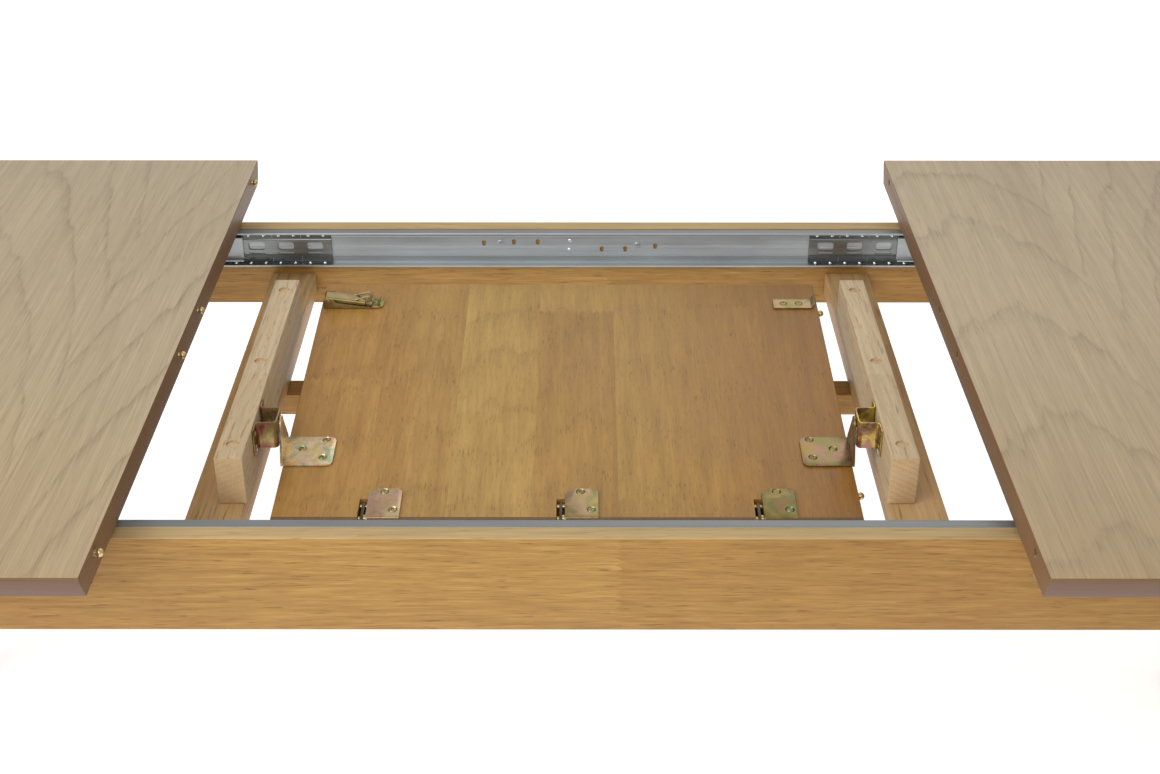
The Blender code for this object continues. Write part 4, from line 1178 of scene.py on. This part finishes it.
def makeLatch(name, edgeX, under, looks, place, leverPlace, nodes):
    size = latch
    start, y = edgeX + size["edgeGap"], size["inset"] - leaf["halfWidth"]
    face, half, stock = under - 0.0004, size["width"] / 2, size["stock"]
    end, (cutX, cutY) = start + size["length"], size["corner"]
    pivot = Vector((start + size["pivotIn"], y, under - 0.0003 - size["pivotDrop"]))
    outline = [
        (start, -half), (end - cutX, -half), (end, cutY - half), (end, half - cutY), (end - cutX, half),
        (start, half),
    ]
    parts = [cutPlate("floor", [(x, y + across, face) for x, across in outline], (0, 0, -stock))]
    drop, wallDrop, wallEnd = size["earDrop"], size["wallDrop"], size["wallEnd"]
    outline = [
        (0, 0), (0, drop * 0.75), (0.003, drop), (0.0105, drop), (size["earLength"], wallDrop + 0.002),
        (wallEnd, wallDrop * 0.55), (wallEnd + 0.003, 0),
    ]
    for side in (-1, 1):
        wallY = y + side * (half - stock / 2) - stock / 2
        parts.append(cutPlate("wall", [(start + a, wallY, face - b) for a, b in outline], (0, stock, 0)))
    for part in parts:
        easeEdges(part, size["ease"], 2)
        part.data.materials.append(looks[0])
    reach = Vector((0, half + size["rivetProud"], 0))
    hub = addRod("hub", pivot - reach, pivot + reach, size["rivet"])
    easeEdges(hub, 0.0004, 2)
    # the tongue at the far end, turned down from the floor plate
    width = size["tongueWidth"]
    path = [(end + x, y - width / 2, face + z) for x, z in size["tongue"]]
    tongue = foldStrip("tongue", path, (0, width, 0), stock, 0.002)
    for part in (hub, tongue):
        part.data.materials.append(looks[1])
    place(joinAll(name + "LatchBase", parts + [hub, tongue]), [], nodes[0])
    heads = [(start + x, y, face - stock - 0.0002) for x in size["screws"]]
    place(placeScrews(name + "LatchScrews", heads, (0, 0, -1), 0.7, 0.85), [looks[1]])

    # the lever: a channel with its sides turned towards the leaf, and the wire bail that it pulls
    slope, length, sideRise = math.radians(size["leverSlope"]), size["leverLength"], size["leverSide"]
    run = Vector((math.cos(slope), 0, math.sin(slope)))
    rise = Vector((-math.sin(slope), 0, math.cos(slope)))
    back = pivot - (run + rise) * size["leverSetback"]
    leverHalf = Vector((0, size["leverWidth"] / 2, 0))
    section = ((-1, sideRise), (-1, 0), (1, 0), (1, sideRise))
    path = [back + leverHalf * side + rise * up for side, up in section]
    channel = foldStrip("channel", path, run * length, stock, 0.0016)
    for vertex in channel.data.vertices:
        share = (vertex.co - back).dot(run) / length
        lift = (vertex.co - back).dot(rise) - sideRise / 2
        if lift > 0:
            vertex.co -= rise * lift * size["leverTaper"] * max(0, share)
    width = Vector((0, size["tabWidth"], 0))
    path = [back + run * (length + a) - width / 2 + rise * b for a, b in size["tab"]]
    tab = foldStrip("tab", path, width, stock, 0.0015)
    for part in (channel, tab):
        part.data.materials.append(looks[2])
    # bail: anchored in the channel's sides, standing up and reaching past the tab
    root = back + run * (length * size["bailRoot"][0]) + rise * size["bailRoot"][1]
    peak = root + run * size["bailPeak"][0] + rise * size["bailPeak"][1]
    foot = peak + run * size["bailFoot"][0] + rise * size["bailFoot"][1]
    bends = list(zip((root, peak, foot), size["bailWidths"]))
    path = [spot - Vector((0, wide, 0)) for spot, wide in bends]
    path += [spot + Vector((0, wide, 0)) for spot, wide in bends[::-1]]
    bail = bendWire("bail", path, size["wire"], 0.002)
    bail.data.materials.append(looks[3])
    leverPlace(joinAll(name + "LatchLever", [channel, tab, bail]), [], nodes[1])


def makeStrike(name, edgeX, under, look, place, node):
    size = strike
    end, y, half = edgeX - latch["edgeGap"], latch["inset"] - leaf["halfWidth"], latch["width"] / 2
    face, start = under - 0.0003 - size["stock"] / 2, end - size["length"]
    path = [(start, 0), (end - size["lipRun"], 0), (end - size["tip"], 0.001 - size["lip"])]
    path = [(x, y - half, face + z) for x, z in path]
    plate = foldStrip(name + "Strike", path, (0, 2 * half, 0), size["stock"], 0.0012)
    spots = [Vector((start + x, y, face - size["stock"] / 2)) for x in size["screws"]]
    sinkHoles(plate, spots, size["holeDepth"], size["holeMouth"])
    easeEdges(plate, 0.0003, 2)
    place(plate, [look], node)
    heads = [spot + Vector((0, 0, size["screwSink"])) for spot in spots]
    heads = placeScrews(name + "StrikeScrews", heads, (0, 0, -1), 1.1, 0.9)
    place(heads, [finishes["platingGreen"]])


def onLeaf(body):
    return lambda piece, looks, *nodes: fitLeaf(piece, "a", looks, "yellow_zinc", *nodes, body=body)


def onTop(body):
    return lambda piece, looks, *nodes: fit(piece, body, looks, "yellow_zinc", *nodes)


edgeX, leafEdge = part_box("right_top_panel")[0].x, leaf["length"] / 2
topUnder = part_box("right_top_panel")[0].z
latchLooks = [finishes["plating" + k] for k in ("Red", "Green", "Straw", "Pink")]
makeLatch(
    "leaf", -leafEdge, leafUnder, latchLooks, onLeaf("leaf_a"), onLeaf("leaf_latch_lever"),
    ("leaf_latch_base", "leaf_latch_lever"),
)
makeLatch(
    "rightTop", edgeX, topUnder, latchLooks, onTop("right_top"), onTop("top_latch_lever"),
    ("right_top_latch_base", "right_top_latch_lever"),
)
makeStrike("leaf", leafEdge, leafUnder, finishes["platingStraw"], onLeaf("leaf_a"), "leaf_strike")
makeStrike("leftTop", -edgeX, topUnder, finishes["platingPink"], onTop("left_top"), "left_top_strike")
bpy.data.objects.remove(screwHead)
print("latches and strikes made")


# Floor, light and camera

studio = {
    "floorSize": 200.0, "floorTone": (0.93, 0.93, 0.93), "floorGlow": 0.45, "sky": 0.60, "aim": (0, 0, 0.7),
    "lights": (
        ("keyLight", (-2.3, -1.8, 2.5), 2.0, 58.0), ("fillLight", (-0.5, -2.6, 2.4), 1.8, 26.0),
        ("backLight", (0.8, 2.6, 3.0), 2.4, 18.0),
    ),
    "cameraPlace": (0.0144, -1.5889, 1.5904), "cameraTilt": 60.0, "cameraTurn": 0.069, "lens": 52.76,
}


def makeStudio():
    letGo()
    bpy.ops.mesh.primitive_plane_add(size=studio["floorSize"], location=(0, 0, 0))
    floor = bpy.context.object
    floor.name = "floor"
    ground = Finish("paleFloor")
    pale = studio["floorTone"]
    dark = tuple(c * 0.99 for c in pale)
    colour = ground.steps(ground.cloud(ground.place, 0.8, 2), (0.3, dark), (0.7, pale))
    ground.surface(
        Base_Color=colour, Roughness=0.9, Emission_Color=(1, 1, 1), Emission_Strength=studio["floorGlow"]
    )
    floor.data.materials.append(ground.material)
    scene = bpy.context.scene
    scene.world = scene.world or bpy.data.worlds.new("studio")
    scene.world.use_nodes = True
    sky = scene.world.node_tree.nodes["Background"]
    sky.inputs[0].default_value = (1, 1, 1, 1)
    sky.inputs[1].default_value = studio["sky"]
    for name, place, size, power in studio["lights"]:
        light = bpy.data.lights.new(name, "AREA")
        light.size = size
        light.energy = power
        lamp = bpy.data.objects.new(name, light)
        lamp.location = place
        lamp.rotation_euler = (Vector(studio["aim"]) - Vector(place)).to_track_quat("-Z", "Y").to_euler()
        scene.collection.objects.link(lamp)
    camera = bpy.data.cameras.new("camera")
    camera.lens = studio["lens"]
    camera.sensor_width = 36
    camera.clip_start, camera.clip_end = 0.05, 60
    viewer = bpy.data.objects.new("camera", camera)
    viewer.location = studio["cameraPlace"]
    viewer.rotation_euler = (math.radians(studio["cameraTilt"]), 0, math.radians(studio["cameraTurn"]))
    scene.collection.objects.link(viewer)
    scene.camera = viewer
    scene.view_settings.view_transform = "Standard"


makeStudio()
print("studio made")
